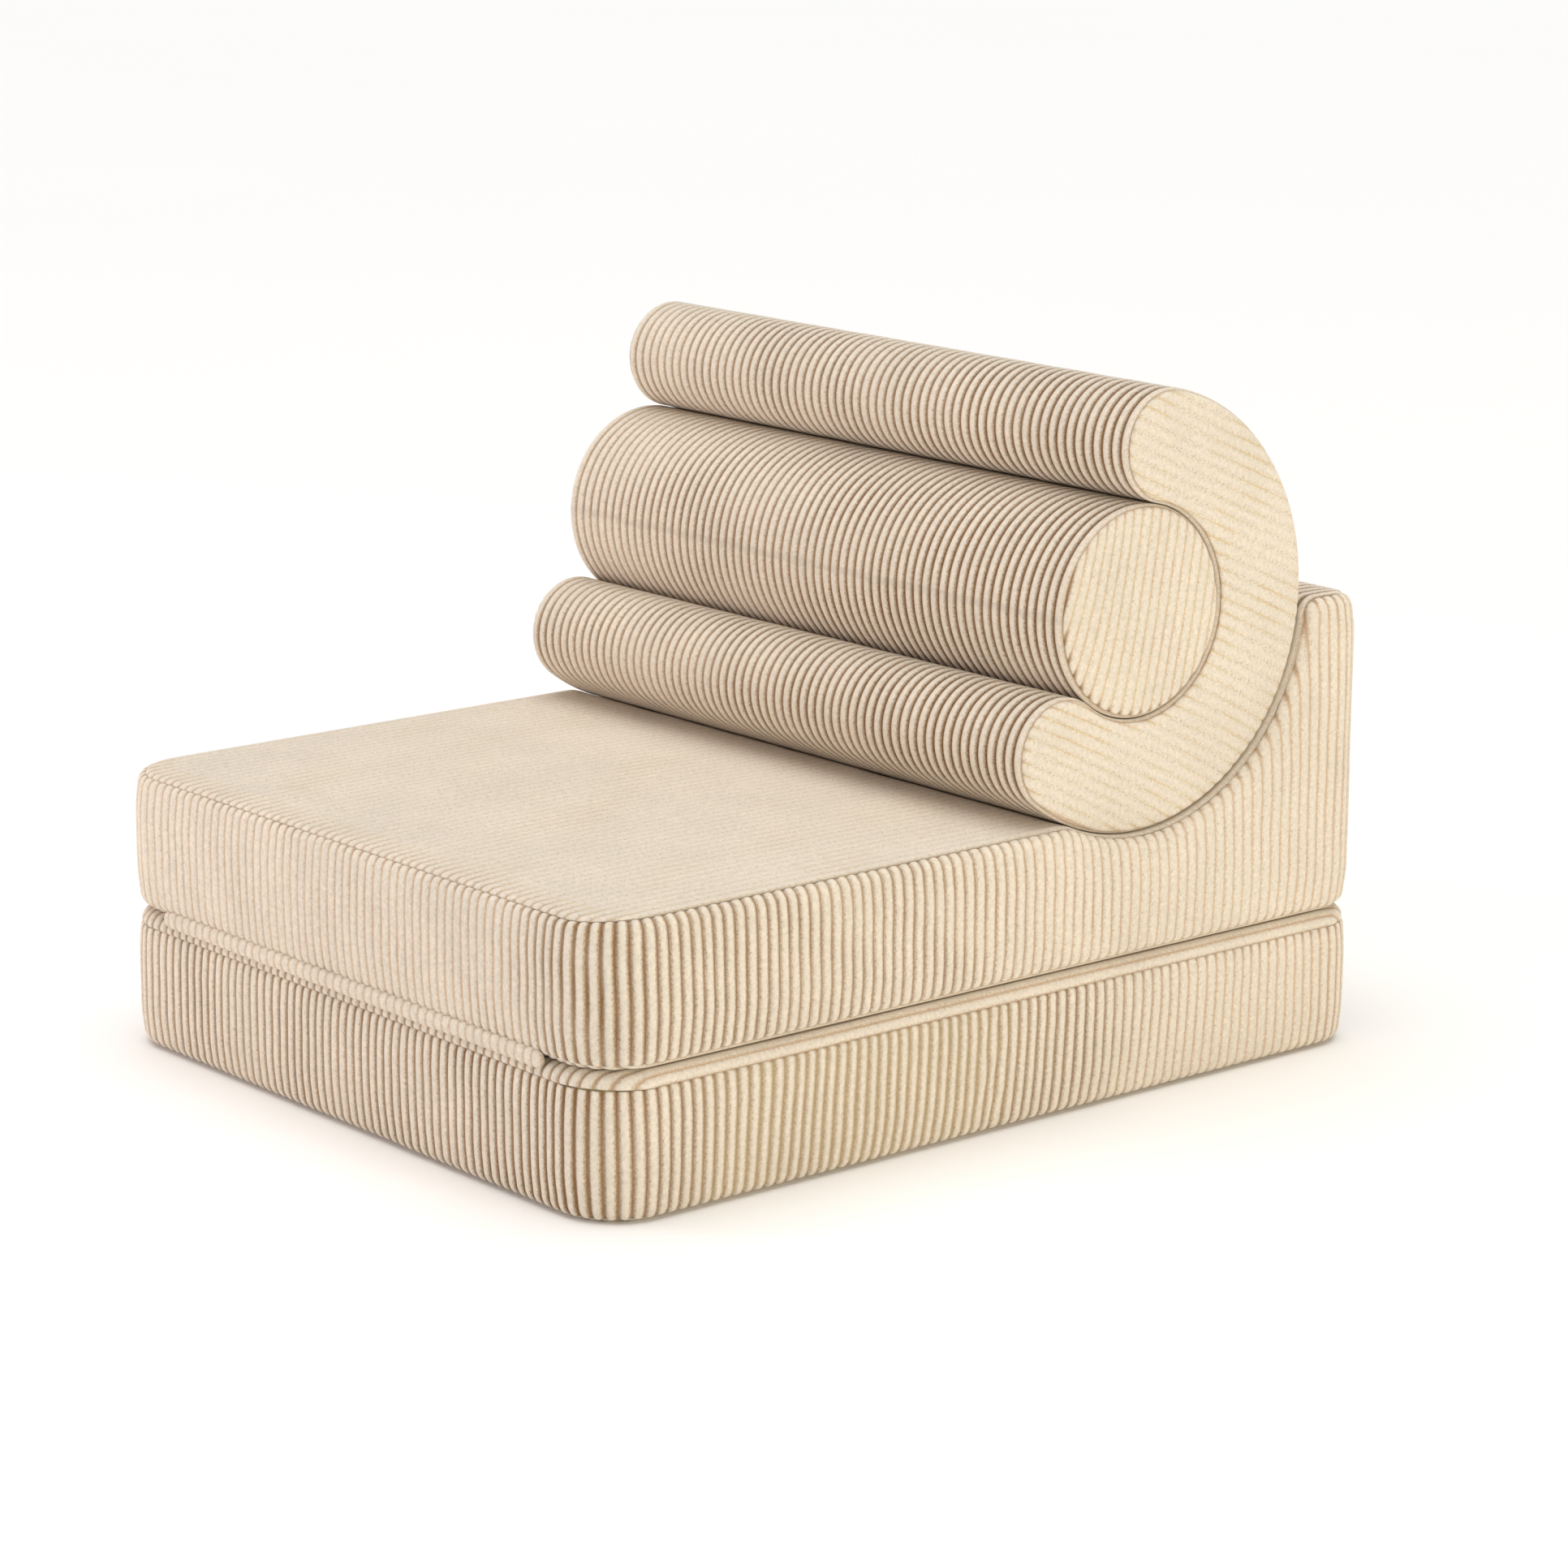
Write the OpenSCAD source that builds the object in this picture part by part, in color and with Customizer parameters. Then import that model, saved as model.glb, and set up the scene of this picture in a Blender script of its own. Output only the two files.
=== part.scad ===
// Fold-out foam chair for a small child. Two mattresses are joined by a fabric hinge at their
// front edges, an arch lies in a cradle at the back of the upper one, and a bolster lies in the arch.
// X runs across the chair, the front faces -Y, Z is up and the origin is under the middle.

/* [Mattresses] */
// Width of both mattresses
chair_w = 600; // [480:5:800]
// Depth of both mattresses, front to back
chair_d = 725; // [620:5:900]
// Thickness of each mattress
mattress_t = 105; // [90:1:140]
// Radius of the upright corners at the front
front_corner_r = 50; // [25:1:80]
// Radius of the upright corners at the back
back_corner_r = 40; // [20:1:60]
// Radius of the soft edges round the top and the bottom
edge_r = 12; // [8:0.5:14]
// How far the middle of the seat stands above its edges
seat_crown = 4; // [0:0.5:10]
// How far the sides swell between their seams
side_swell = 2; // [0:0.5:5]
// Height over which the sides draw in towards a seam
swell_ramp = 26; // [12:1:28]

/* [Wedge and cradle] */
// Height of the wedge above the seat
wedge_h = 140; // [90:1:150]
// Thickness of the wedge behind the deepest part of the cradle
wedge_wall = 68; // [50:1:100]
// How far the arch sinks below the top of the seat
arch_sink = 16.5; // [8:0.5:25]
// Radius of the soft lip where the seat turns down into the cradle
seat_lip_r = 30; // [18:1:50]
// Radius of the soft lip at the top of the wedge
wedge_lip_r = 16; // [15:0.5:24]

/* [Arch] */
// How far each end of the arch stays inside the side of the mattress
arch_inset = 13; // [0:1:60]
// Radius of the outside of the arch
arch_r = 160.5; // [140:0.5:180]
// Thickness of the arch
arch_t = 83; // [60:1:90]
// Angle of the upper arm's end, from straight back
arm_up = 78; // [60:1:95]
// Angle of the lower arm's end below straight back
arm_down = 128; // [110:1:130]
// Radius of the soft edge round each end of the arch
arch_edge_r = 8; // [5:0.5:14]

/* [Bolster] */
// How far each end of the bolster stays inside the side of the mattress
bolster_inset = 14; // [0:1:60]
// How much smaller the bolster's radius is than the inside of the arch
bolster_play = 2.5; // [0.5:0.1:10]
// Radius of the soft edge round each end of the bolster
bolster_edge_r = 9; // [5:0.5:14]

/* [Covers] */
// Thickness of the corduroy covers, from the wale's ridge to the backing
cover_t = 3; // [2:0.1:4]
// How far the end panels of the arch and of the bolster stand proud in the middle
end_crown = 1.5; // [0.5:0.1:2]
// How far the hinge strip stops short of each side
strip_inset = 68; // [55:1:150]
// Height of the hinge strip
strip_h = 15; // [10:0.5:22]
// Thickness of the hinge strip
strip_t = 2.5; // [1.5:0.1:3]

/* [Zips] */
// How far the mattress zips stop short of each side
mattress_zip_inset = 60; // [50:2:180]
// How far the arch's zip stops short of each end
arch_zip_inset = 60; // [20:2:180]
// How far the bolster's zip stops short of the rim of its end
bolster_zip_inset = 20; // [12:1:40]
// Angle of the arch's zip above straight back
arch_zip_angle = 14; // [10:1:40]
// Width of the closed row of teeth
teeth_w = 6; // [4:0.5:8]
// Thickness of the closed row of teeth
teeth_t = 2.4; // [1.6:0.1:3]
// Width of each woven tape
tape_w = 8; // [6:0.5:10]
// Thickness of each woven tape
tape_t = 1; // [0.6:0.1:1.4]
// Length of a slider
slider_l = 13; // [10:0.5:18]
// Length of a pull tab
pull_l = 24; // [14:1:34]
// Width of a pull tab
pull_w = 7; // [5:0.5:9]

/* [Hidden] */

cream = "#e0d2bd";
foam = "#f0e6b8";
tape_colour = "#d8cbb4";
brass = "#b89a5a";
eps = 0.01;

// Pieces that touch are this far apart, so that soft faces never run into each other
seat_gap = 0.3;

// Levels
foot_z0 = 0;
foot_z1 = mattress_t - seat_gap / 2;
seat_z0 = mattress_t + seat_gap / 2;
seat_z1 = 2 * mattress_t;
wedge_z1 = seat_z1 + wedge_h;

// Plan of a mattress, at the rounding centres of its soft edges
in_x = chair_w / 2 - side_swell - edge_r;
in_y = chair_d / 2 - side_swell - edge_r;
front_in_r = front_corner_r - edge_r;
back_in_r = back_corner_r - edge_r;

// The cradle is an arc about the arch's own axis
cradle_r = arch_r + seat_gap;
arch_y = chair_d / 2 - wedge_wall - cradle_r;
arch_z = seat_z1 - arch_sink + cradle_r;
arch_w = chair_w - 2 * arch_inset;
arch_in_r = arch_r - arch_t;
arch_mid_r = arch_r - arch_t / 2;
arm_r = arch_t / 2;
arch_span = arm_up + arm_down;

// The bolster rests in the bottom of the arch
bolster_w = chair_w - 2 * bolster_inset;
bolster_r = arch_in_r - bolster_play;
bolster_z = arch_z - bolster_play + seat_gap;

// Seams: the top panel meets the band this far round the soft edge, from straight up
seam_angle = 62;
half_seam = seat_gap / edge_r * 90 / PI;
edge_angles = [for (k = [1 : 3]) (seam_angle - half_seam) * k / 3];
band_start = seam_angle + half_seam;

// Half the width of the inset plan at depth y
function inset_half_w(y) =
    let (f = y + in_y, b = in_y - y)
    f < front_in_r ? in_x - front_in_r + sqrt(max(0, front_in_r ^ 2 - (front_in_r - f) ^ 2)) :
    b < back_in_r ? in_x - back_in_r + sqrt(max(0, back_in_r ^ 2 - (back_in_r - b) ^ 2)) : in_x;

// Outward direction of the plan on its right side at depth y
function plan_normal(y) =
    let (f = y + in_y, b = in_y - y)
    f < front_in_r ? let (c = (front_in_r - f) / front_in_r) [sqrt(max(0, 1 - c * c)), -c] :
    b < back_in_r ? let (c = (back_in_r - b) / back_in_r) [sqrt(max(0, 1 - c * c)), c] : [1, 0];

// A row across a mattress is [y, z, normal y, normal z, share of the crown]
function flat_row(y, z, share = 0) = [y, z, 0, 1, share];
function arc_row(c, r, a, side) = [c[0] + r * cos(a), c[1] + r * sin(a), side * cos(a), side * sin(a), 0];
function front_corner_rows(z) =
    [for (k = [0 : 4]) flat_row(-in_y + front_in_r * (1 - cos(22.5 * k)), z)];
function back_corner_rows(z) =
    [for (k = [4 : -1 : 0]) flat_row(in_y - back_in_r * (1 - cos(22.5 * k)), z)];

foot_rows = concat(front_corner_rows(foot_z1), back_corner_rows(foot_z1));

// The seat runs flat to a soft lip, down into the cradle, up its arc and over the wedge
seat_lip_c = [
    arch_y - sqrt((cradle_r + seat_lip_r) ^ 2 - (arch_z - seat_z1 + seat_lip_r) ^ 2),
    seat_z1 - seat_lip_r
];
wedge_lip_c = [
    arch_y + sqrt((cradle_r + wedge_lip_r) ^ 2 - (arch_z - wedge_z1 + wedge_lip_r) ^ 2),
    wedge_z1 - wedge_lip_r
];
seat_lip_end = atan2(arch_z - seat_lip_c[1], arch_y - seat_lip_c[0]);
wedge_lip_start = atan2(arch_z - wedge_lip_c[1], arch_y - wedge_lip_c[0]);
flat_start = -in_y + front_in_r;
lip_steps = 3;
crown_steps = 3;
cradle_steps = 13;
cradle_step = (wedge_lip_start - seat_lip_end) / cradle_steps;
// The flats between the cradle's points touch its true radius, so that the arch stays clear
cradle_point_r = cradle_r / cos(cradle_step / 2);
seat_rows = concat(
    front_corner_rows(seat_z1),
    [for (k = [1 : crown_steps])
        let (s = k / (crown_steps + 1))
        flat_row(flat_start + s * (seat_lip_c[0] - flat_start), seat_z1, sin(180 * s))],
    [for (k = [0 : lip_steps - 1])
        arc_row(seat_lip_c, seat_lip_r, 90 + (seat_lip_end - 90) * k / lip_steps, 1)],
    [for (k = [0 : cradle_steps])
        arc_row([arch_y, arch_z], cradle_point_r, seat_lip_end - 180 + cradle_step * k, -1)],
    [for (k = [1 : lip_steps])
        arc_row(wedge_lip_c, wedge_lip_r, wedge_lip_start + (90 - wedge_lip_start) * k / lip_steps, 1)],
    back_corner_rows(wedge_z1)
);

across = [-1, -0.55, 0, 0.55, 1];
last_col = len(across) - 1;
cols = len(across);

// Grid point of the top surface, set in by a thickness
function top_pt(row, a, inset) =
    let (lift = seat_crown * row[4] * (1 - a * a) - inset)
    [a * inset_half_w(row[0]), row[0] + row[2] * lift, row[1] + row[3] * lift];

// The edge of a grid of n + 1 rows, walked once round: [row, column]
function edge_walk(n) = concat(
    [for (j = [0 : last_col]) [0, j]],
    [for (i = [1 : n]) [i, last_col]],
    [for (j = [last_col - 1 : -1 : 0]) [n, j]],
    [for (i = [n - 1 : -1 : 1]) [i, 0]]
);
function walk_normal(rows, w) =
    let (n = len(rows) - 1, s = plan_normal(rows[w[0]][0]))
    w[0] == 0 ? [0, -1] : w[0] == n ? [0, 1] : w[1] == 0 ? [-s[0], s[1]] : s;

// Centre of the soft edge's rounding at a place on the walk
function edge_centre(rows, w) =
    let (row = rows[w[0]])
    [across[w[1]] * inset_half_w(row[0]), row[0] - row[2] * edge_r, row[1] - row[3] * edge_r];

// One loop round the mattress: over the top edge at an angle from straight up
function top_loop(rows, inset, angle) = [for (w = edge_walk(len(rows) - 1))
    let (c = edge_centre(rows, w), n = walk_normal(rows, w), row = rows[w[0]], r = edge_r - inset)
    c + r * [n[0] * sin(angle), n[1] * sin(angle) + row[2] * cos(angle), row[3] * cos(angle)]];

// One loop round the mattress: on the side, a distance below the top edge or above the bottom one
function side_loop(rows, inset, z0, from_top, distance) = [for (w = edge_walk(len(rows) - 1))
    let (c = edge_centre(rows, w), n = walk_normal(rows, w),
        r = edge_r - inset + side_swell * distance / swell_ramp)
    [c[0] + n[0] * r, c[1] + n[1] * r, from_top ? c[2] - distance : z0 + edge_r + distance]];

// One loop round the mattress: under the bottom edge at an angle from straight down
function base_loop(rows, inset, z0, angle) = [for (w = edge_walk(len(rows) - 1))
    let (c = edge_centre(rows, w), n = walk_normal(rows, w), r = edge_r - inset)
    [c[0] + n[0] * r * sin(angle), c[1] + n[1] * r * sin(angle), z0 + edge_r - r * cos(angle)]];

// The four loops down the side
function side_loops(rows, inset, z0) = [
    side_loop(rows, inset, z0, true, 0), side_loop(rows, inset, z0, true, swell_ramp),
    side_loop(rows, inset, z0, false, swell_ramp), side_loop(rows, inset, z0, false, 0)
];

function reverse(list) = [for (k = [len(list) - 1 : -1 : 0]) list[k]];
function flatten(lists) = [for (l = lists) each l];
function starts(loops, at) = [for (k = [0 : len(loops) - 1]) at + k * len(loops[0])];

// Triangles between loops of m points that start at the given indices
function loop_faces(starts, m, closed) = [
    for (k = [0 : len(starts) - (closed ? 1 : 2)])
        for (q = [0 : m - 1])
            let (a = starts[k], b = starts[(k + 1) % len(starts)], p = (q + 1) % m)
            each [[a + q, a + p, b + p], [a + q, b + p, b + q]]
];

// Triangles across a level loop of n + 1 rows that starts at an index
function cap_faces(at, n, down) =
    let (m = 2 * (last_col + n),
        left = function(i) at + (m - i) % m,
        right = function(i) at + last_col + i,
        tris = concat(
            [for (j = [0 : last_col - 1]) [left(1), at + j, at + j + 1]],
            [[left(1), right(0), right(1)]],
            [for (i = [1 : n - 2]) each [
                [left(i), right(i), right(i + 1)], [left(i), right(i + 1), left(i + 1)]]],
            [for (j = [-1 : last_col - 1]) [left(n - 1), right(n) + j, right(n) + j + 1]]
        ))
    down ? tris : [for (t = tris) [t[0], t[2], t[1]]];

// A closed ring through the loops
module ring_solid(loops) {
    polyhedron(flatten(loops), loop_faces(starts(loops, 0), len(loops[0]), true));
}

// A dish that is level at its first and last loop
module dish_solid(loops, n) {
    at = starts(loops, 0);
    polyhedron(flatten(loops), concat(
        loop_faces(at, len(loops[0]), false),
        cap_faces(at[0], n, false),
        cap_faces(at[len(loops) - 1], n, true)
    ));
}

function grid_points(rows, inset) = [for (row = rows) for (a = across) top_pt(row, a, inset)];
function grid_faces(at, n, up) = [
    for (i = [0 : n - 1]) for (j = [0 : last_col - 1])
        let (a = at + i * cols + j, b = a + 1, c = a + cols + 1, d = a + cols)
        each up ? [[a, d, c], [a, c, b]] : [[a, c, d], [a, b, c]]
];

// Triangles between the edge of a grid and a loop
function rim_faces(grid_at, loop_at, n, down) =
    let (walk = edge_walk(n), m = len(walk))
    [for (q = [0 : m - 1])
        let (p = (q + 1) % m,
            a = grid_at + walk[q][0] * cols + walk[q][1],
            b = grid_at + walk[p][0] * cols + walk[p][1],
            c = loop_at + p, d = loop_at + q)
        each down ? [[a, b, c], [a, c, d]] : [[a, c, b], [a, d, c]]];

// A block under a grid: down through the loops to a level base
module block_solid(rows, inset, loops) {
    n = len(rows) - 1;
    grid = grid_points(rows, inset);
    at = starts(loops, len(grid));
    polyhedron(concat(grid, flatten(loops)), concat(
        grid_faces(0, n, true),
        rim_faces(0, at[0], n, true),
        loop_faces(at, len(loops[0]), false),
        cap_faces(at[len(loops) - 1], n, true)
    ));
}

// A panel over a grid: down through the loops and back under a second grid
module panel_solid(rows, inset, loops) {
    n = len(rows) - 1;
    outer = grid_points(rows, 0);
    inner = grid_points(rows, inset);
    inner_at = len(outer) + len(loops) * len(loops[0]);
    at = starts(loops, len(outer));
    polyhedron(concat(outer, flatten(loops), inner), concat(
        grid_faces(0, n, true),
        rim_faces(0, at[0], n, true),
        loop_faces(at, len(loops[0]), false),
        rim_faces(inner_at, at[len(loops) - 1], n, false),
        grid_faces(inner_at, n, false)
    ));
}

module mattress_top(rows) {
    panel_solid(rows, cover_t, concat(
        [for (a = edge_angles) top_loop(rows, 0, a)],
        [for (a = reverse(edge_angles)) top_loop(rows, cover_t, a)]
    ));
}

module mattress_band(rows, z0) {
    function half_ring(inset) = concat(
        [top_loop(rows, inset, band_start)], side_loops(rows, inset, z0),
        [base_loop(rows, inset, z0, band_start)]
    );
    ring_solid(concat(half_ring(0), reverse(half_ring(cover_t))));
}

module mattress_base(rows, z0) {
    turn = seam_angle - half_seam;
    dish_solid([
        base_loop(rows, cover_t, z0, 0), base_loop(rows, cover_t, z0, turn),
        base_loop(rows, 0, z0, turn), base_loop(rows, 0, z0, turn / 2), base_loop(rows, 0, z0, 0)
    ], len(rows) - 1);
}

// Foam block that fills a mattress cover, with a groove for the zip
core_inset = cover_t + seat_gap;
module mattress_core(rows, z0) {
    difference() {
        block_solid(rows, core_inset, concat(
            [top_loop(rows, core_inset, seam_angle)], side_loops(rows, core_inset, z0),
            [base_loop(rows, core_inset, z0, seam_angle), base_loop(rows, core_inset, z0, 0)]
        ));
        at_mattress_zip(z0) zip_groove(mattress_zip_l);
    }
}

// Zips lie along X, face +Y and have the cover's outer face at y = 0. The teeth and the slider
// stand in a slot in the cover, and the tapes lie behind it, in a groove in the foam.
mattress_zip_l = chair_w - 2 * mattress_zip_inset;
arch_zip_l = arch_w - 2 * arch_zip_inset;
bolster_zip_l = 2 * (bolster_r - bolster_zip_inset);
teeth_back = -core_inset - tape_t;
teeth_face = teeth_back + teeth_t;
slider_gap = 0.1;
plate_t = 1.1;
plate_face = teeth_face + slider_gap + plate_t;
flange_t = 1;
slider_w = teeth_w + 2 * (0.6 + flange_t);
knuckle_r = 1.1;
knuckle_w = 3;
knuckle_gap = 0.3;
cheek_t = 0.9;
pin_r = 0.5;
pin_gap = 0.1;
pull_t = 1.2;
pin_y = max(plate_face + knuckle_r + 0.2, seat_gap + pull_t / 2);
pull_neck = 3.2;
slot_h = slider_w + 1;
end_margin = 3;
tape_reach = teeth_w / 2 + tape_w;
// The arch's cover curves away behind its flat tapes
arch_tape_drop = arch_r - sqrt(arch_r ^ 2 - tape_reach ^ 2);

module zip_slot(l) {
    translate([-l / 2 - end_margin, -2 * core_inset, -slot_h / 2])
        cube([l + 2 * end_margin, 3 * core_inset, slot_h]);
}
module zip_groove(l, drop = 0) {
    depth = tape_t + drop + seat_gap;
    translate([-l / 2 - end_margin - seat_gap, -core_inset - depth, -tape_reach - seat_gap])
        cube([l + 2 * (end_margin + seat_gap), depth + core_inset, 2 * (tape_reach + seat_gap)]);
}

// Two woven tapes, each sewn to its side of the slot
module zip_tapes(l, drop = 0) {
    color(tape_colour) for (side = [-1, 1])
        translate([-l / 2 - end_margin, -core_inset - drop - tape_t,
            side > 0 ? teeth_w / 2 : -tape_reach])
            cube([l + 2 * end_margin, tape_t, tape_w]);
}

// The closed row of teeth, with bevelled edges
module zip_teeth(l) {
    b = teeth_t * 0.3;
    w = teeth_w / 2;
    color(brass) translate([-l / 2, 0, 0]) rotate([90, 0, 90]) linear_extrude(l)
        polygon([
            [teeth_back, -w], [teeth_face - b, -w], [teeth_face, b - w],
            [teeth_face, w - b], [teeth_face - b, w], [teeth_back, w]
        ]);
}

// A plate with one round end, in the XZ plane from y0 up
module round_plate(from, to, w, y0, t) {
    translate([0, y0 + t, 0]) rotate([90, 0, 0]) linear_extrude(t) {
        translate([from, -w / 2]) square([to - w / 2 - from, w]);
        translate([to - w / 2, 0]) circle(w / 2, $fn = 48);
    }
}

// Slider: a plate over the teeth, a flange down each side, and two cheeks with the pin
module zip_slider() {
    flange_y = -core_inset + 0.2;
    color(brass) {
        round_plate(-slider_l / 2, slider_l / 2, slider_w, plate_face - plate_t, plate_t);
        for (s = [-1, 1]) {
            translate([-slider_l / 2, flange_y, s * (slider_w - flange_t) / 2 - flange_t / 2])
                cube([slider_l - slider_w / 2, plate_face - plate_t - flange_y + eps, flange_t]);
            translate([0, 0, s * (knuckle_w + cheek_t + 2 * knuckle_gap) / 2 - cheek_t / 2]) {
                translate([-knuckle_r, plate_face - eps, 0])
                    cube([2 * knuckle_r, pin_y - plate_face + eps, cheek_t]);
                translate([0, pin_y, 0]) cylinder(r = knuckle_r, h = cheek_t, $fn = 32);
            }
        }
        translate([0, pin_y, -knuckle_w / 2 - knuckle_gap - eps])
            cylinder(r = pin_r, h = knuckle_w + 2 * (knuckle_gap + eps), $fn = 32);
    }
}

// Pull tab: lies along the teeth, with a bored knuckle round the pin and a hole in its end
module zip_pull() {
    color(brass) difference() {
        union() {
            translate([0, pin_y, -knuckle_w / 2]) cylinder(r = knuckle_r, h = knuckle_w, $fn = 32);
            translate([0, pin_y - pull_t / 2, -knuckle_w / 2]) cube([pull_neck + eps, pull_t, knuckle_w]);
            round_plate(pull_neck, pull_l, pull_w, pin_y - pull_t / 2, pull_t);
        }
        translate([0, pin_y, -knuckle_w]) cylinder(r = pin_r + pin_gap, h = 2 * knuckle_w, $fn = 32);
        translate([pull_l - pull_w / 2, pin_y + pull_t, 0]) rotate([90, 0, 0])
            cylinder(r = pull_w / 4, h = 2 * pull_t, $fn = 32);
    }
}

// Where the four zips lie, and where a slider starts on its zip
module at_mattress_zip(z0) {
    translate([0, chair_d / 2, z0 + mattress_t / 2]) children();
}
module at_arch_zip() {
    translate([0, arch_y, arch_z]) rotate([arch_zip_angle, 0, 0]) translate([0, arch_r, 0]) children();
}
module at_bolster_zip() {
    translate([-bolster_w / 2 - seat_gap, arch_y, bolster_z])
        rotate([-90, 0, 0]) rotate([0, 0, 90]) children();
}
module at_slider(l) {
    translate([slider_l / 2 - l / 2, 0, 0]) children();
}

// Foot mattress, the lower one
module foot_core() { color(foam) mattress_core(foot_rows, foot_z0); }
module foot_cover_top() { color(cream) mattress_top(foot_rows); }
module foot_cover_band() {
    color(cream) difference() {
        mattress_band(foot_rows, foot_z0);
        at_mattress_zip(foot_z0) zip_slot(mattress_zip_l);
    }
}
module foot_cover_base() { color(cream) mattress_base(foot_rows, foot_z0); }
module foot_zip_tapes() { at_mattress_zip(foot_z0) zip_tapes(mattress_zip_l); }
module foot_zip_teeth() { at_mattress_zip(foot_z0) zip_teeth(mattress_zip_l); }
module foot_zip_slider() { at_mattress_zip(foot_z0) at_slider(mattress_zip_l) zip_slider(); }
module foot_zip_pull() { at_mattress_zip(foot_z0) at_slider(mattress_zip_l) zip_pull(); }

// Seat mattress: its foam is a slab with the foot of the cradle in it, and a wedge glued on top
module wedge_space(gap) {
    translate([-chair_w, arch_y, seat_z1 + gap]) cube([2 * chair_w, chair_d, 2 * wedge_h]);
}
module seat_core() {
    color(foam) difference() {
        mattress_core(seat_rows, seat_z0);
        wedge_space(0);
    }
}
module wedge_core() {
    color(foam) intersection() {
        mattress_core(seat_rows, seat_z0);
        wedge_space(seat_gap);
    }
}
module seat_cover_top() { color(cream) mattress_top(seat_rows); }
module seat_cover_band() {
    color(cream) difference() {
        mattress_band(seat_rows, seat_z0);
        at_mattress_zip(seat_z0) zip_slot(mattress_zip_l);
    }
}
module seat_cover_base() { color(cream) mattress_base(foot_rows, seat_z0); }
module seat_zip_tapes() { at_mattress_zip(seat_z0) zip_tapes(mattress_zip_l); }
module seat_zip_teeth() { at_mattress_zip(seat_z0) zip_teeth(mattress_zip_l); }
module seat_zip_slider() { at_mattress_zip(seat_z0) at_slider(mattress_zip_l) zip_slider(); }
module seat_zip_pull() { at_mattress_zip(seat_z0) at_slider(mattress_zip_l) zip_pull(); }

// Sections of the bolster: [distance from its axis, place along X]. The line turns over the soft
// edge and runs over the crowned end to the middle.
crown_shares = [0.35, 0.7, 1];
function end_line(inset, angles) =
    let (half = bolster_w / 2, soft = bolster_edge_r, flat_r = bolster_r - soft)
    concat(
        [for (a = angles) [flat_r + (soft - inset) * cos(a), half - soft + (soft - inset) * sin(a)]],
        [for (s = crown_shares) [flat_r * (1 - s), half - inset + end_crown * (1 - (1 - s) ^ 2)]]
    );
function other_end(line) = [for (p = line) [p[0], -p[1]]];
soft_angles = [0, 30, 60, 90];

// The arch's outline in the YZ plane, set in by d and placed at x: out along the bow, round the
// upper arm's end, back along the inside and round the lower arm's end
bow_steps = 24;
tip_steps = 10;
bow_step = arch_span / bow_steps;
outline_n = 2 * (bow_steps + tip_steps);
function polar(r, a) = [r * cos(a), r * sin(a)];
function arch_outline(d) = concat(
    [for (k = [0 : bow_steps]) polar(arch_r - d, -arm_down + k * bow_step)],
    [for (k = [1 : tip_steps - 1])
        polar(arch_mid_r, arm_up) + polar(arm_r - d, arm_up + 180 * k / tip_steps)],
    // The flats of the inside touch its true radius, so that the bolster stays clear
    [for (k = [bow_steps : -1 : 0]) polar((arch_in_r + d) / cos(bow_step / 2), -arm_down + k * bow_step)],
    [for (k = [1 : tip_steps - 1])
        polar(arch_mid_r, -arm_down) + polar(arm_r - d, 180 - arm_down + 180 * k / tip_steps)]
);
function arch_loop(d, x) = [for (p = arch_outline(d)) [x, arch_y + p[0], arch_z + p[1]]];

// Loops at the soft edge of an end, and on its crown
function arch_edge_loop(inset, angle, side = 1) = arch_loop(
    arch_edge_r - (arch_edge_r - inset) * cos(angle),
    side * (arch_w / 2 - arch_edge_r + (arch_edge_r - inset) * sin(angle)));
function arch_crown_loop(inset, share, side = 1) = arch_loop(
    arch_edge_r + (arm_r - arch_edge_r) * share,
    side * (arch_w / 2 - inset + end_crown * (1 - (1 - share) ^ 2)));
crown_mid = 0.45;
crown_top = 0.9;

// Triangles across an outline that starts at an index
function arch_cap(at, up) =
    let (n = bow_steps, t = tip_steps, inner = 2 * n + t,
        tris = concat(
            [for (k = [0 : n - 1]) each [[k, k + 1, inner - k - 1], [k, inner - k - 1, inner - k]]],
            [for (j = [1 : t - 1]) [n, n + j, n + j + 1]],
            [for (j = [1 : t - 1]) [inner, inner + j, (inner + j + 1) % outline_n]]
        ))
    [for (f = tris) up ? [at + f[0], at + f[2], at + f[1]] : [at + f[0], at + f[1], at + f[2]]];

// A solid through the loops, from the right one to the left one, level at both ends
module arch_solid(loops) {
    at = starts(loops, 0);
    polyhedron(flatten(loops), concat(
        loop_faces(at, outline_n, false), arch_cap(at[0], true), arch_cap(at[len(loops) - 1], false)
    ));
}

module arch_core() {
    function end_loops(side) = [
        arch_crown_loop(core_inset, crown_top, side), arch_edge_loop(core_inset, 90, side),
        arch_edge_loop(core_inset, 0, side)
    ];
    color(foam) difference() {
        arch_solid(concat(end_loops(1), reverse(end_loops(-1))));
        at_arch_zip() zip_groove(arch_zip_l, arch_tape_drop);
    }
}
module arch_cover_wrap() {
    half = arch_w / 2 - arch_edge_r - seat_gap;
    color(cream) difference() {
        polyhedron(
            concat(arch_loop(0, half), arch_loop(0, -half), arch_loop(cover_t, -half),
                arch_loop(cover_t, half)),
            loop_faces([for (k = [0 : 3]) k * outline_n], outline_n, true)
        );
        at_arch_zip() zip_slot(arch_zip_l);
    }
}
module arch_cover_end(side) {
    color(cream) mirror([side < 0 ? 1 : 0, 0, 0]) arch_solid([
        arch_crown_loop(0, crown_top), arch_crown_loop(0, crown_mid), arch_edge_loop(0, 90),
        arch_edge_loop(0, 45), arch_edge_loop(0, 0), arch_edge_loop(cover_t, 0),
        arch_edge_loop(cover_t, 90), arch_crown_loop(cover_t, crown_top)
    ]);
}
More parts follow.
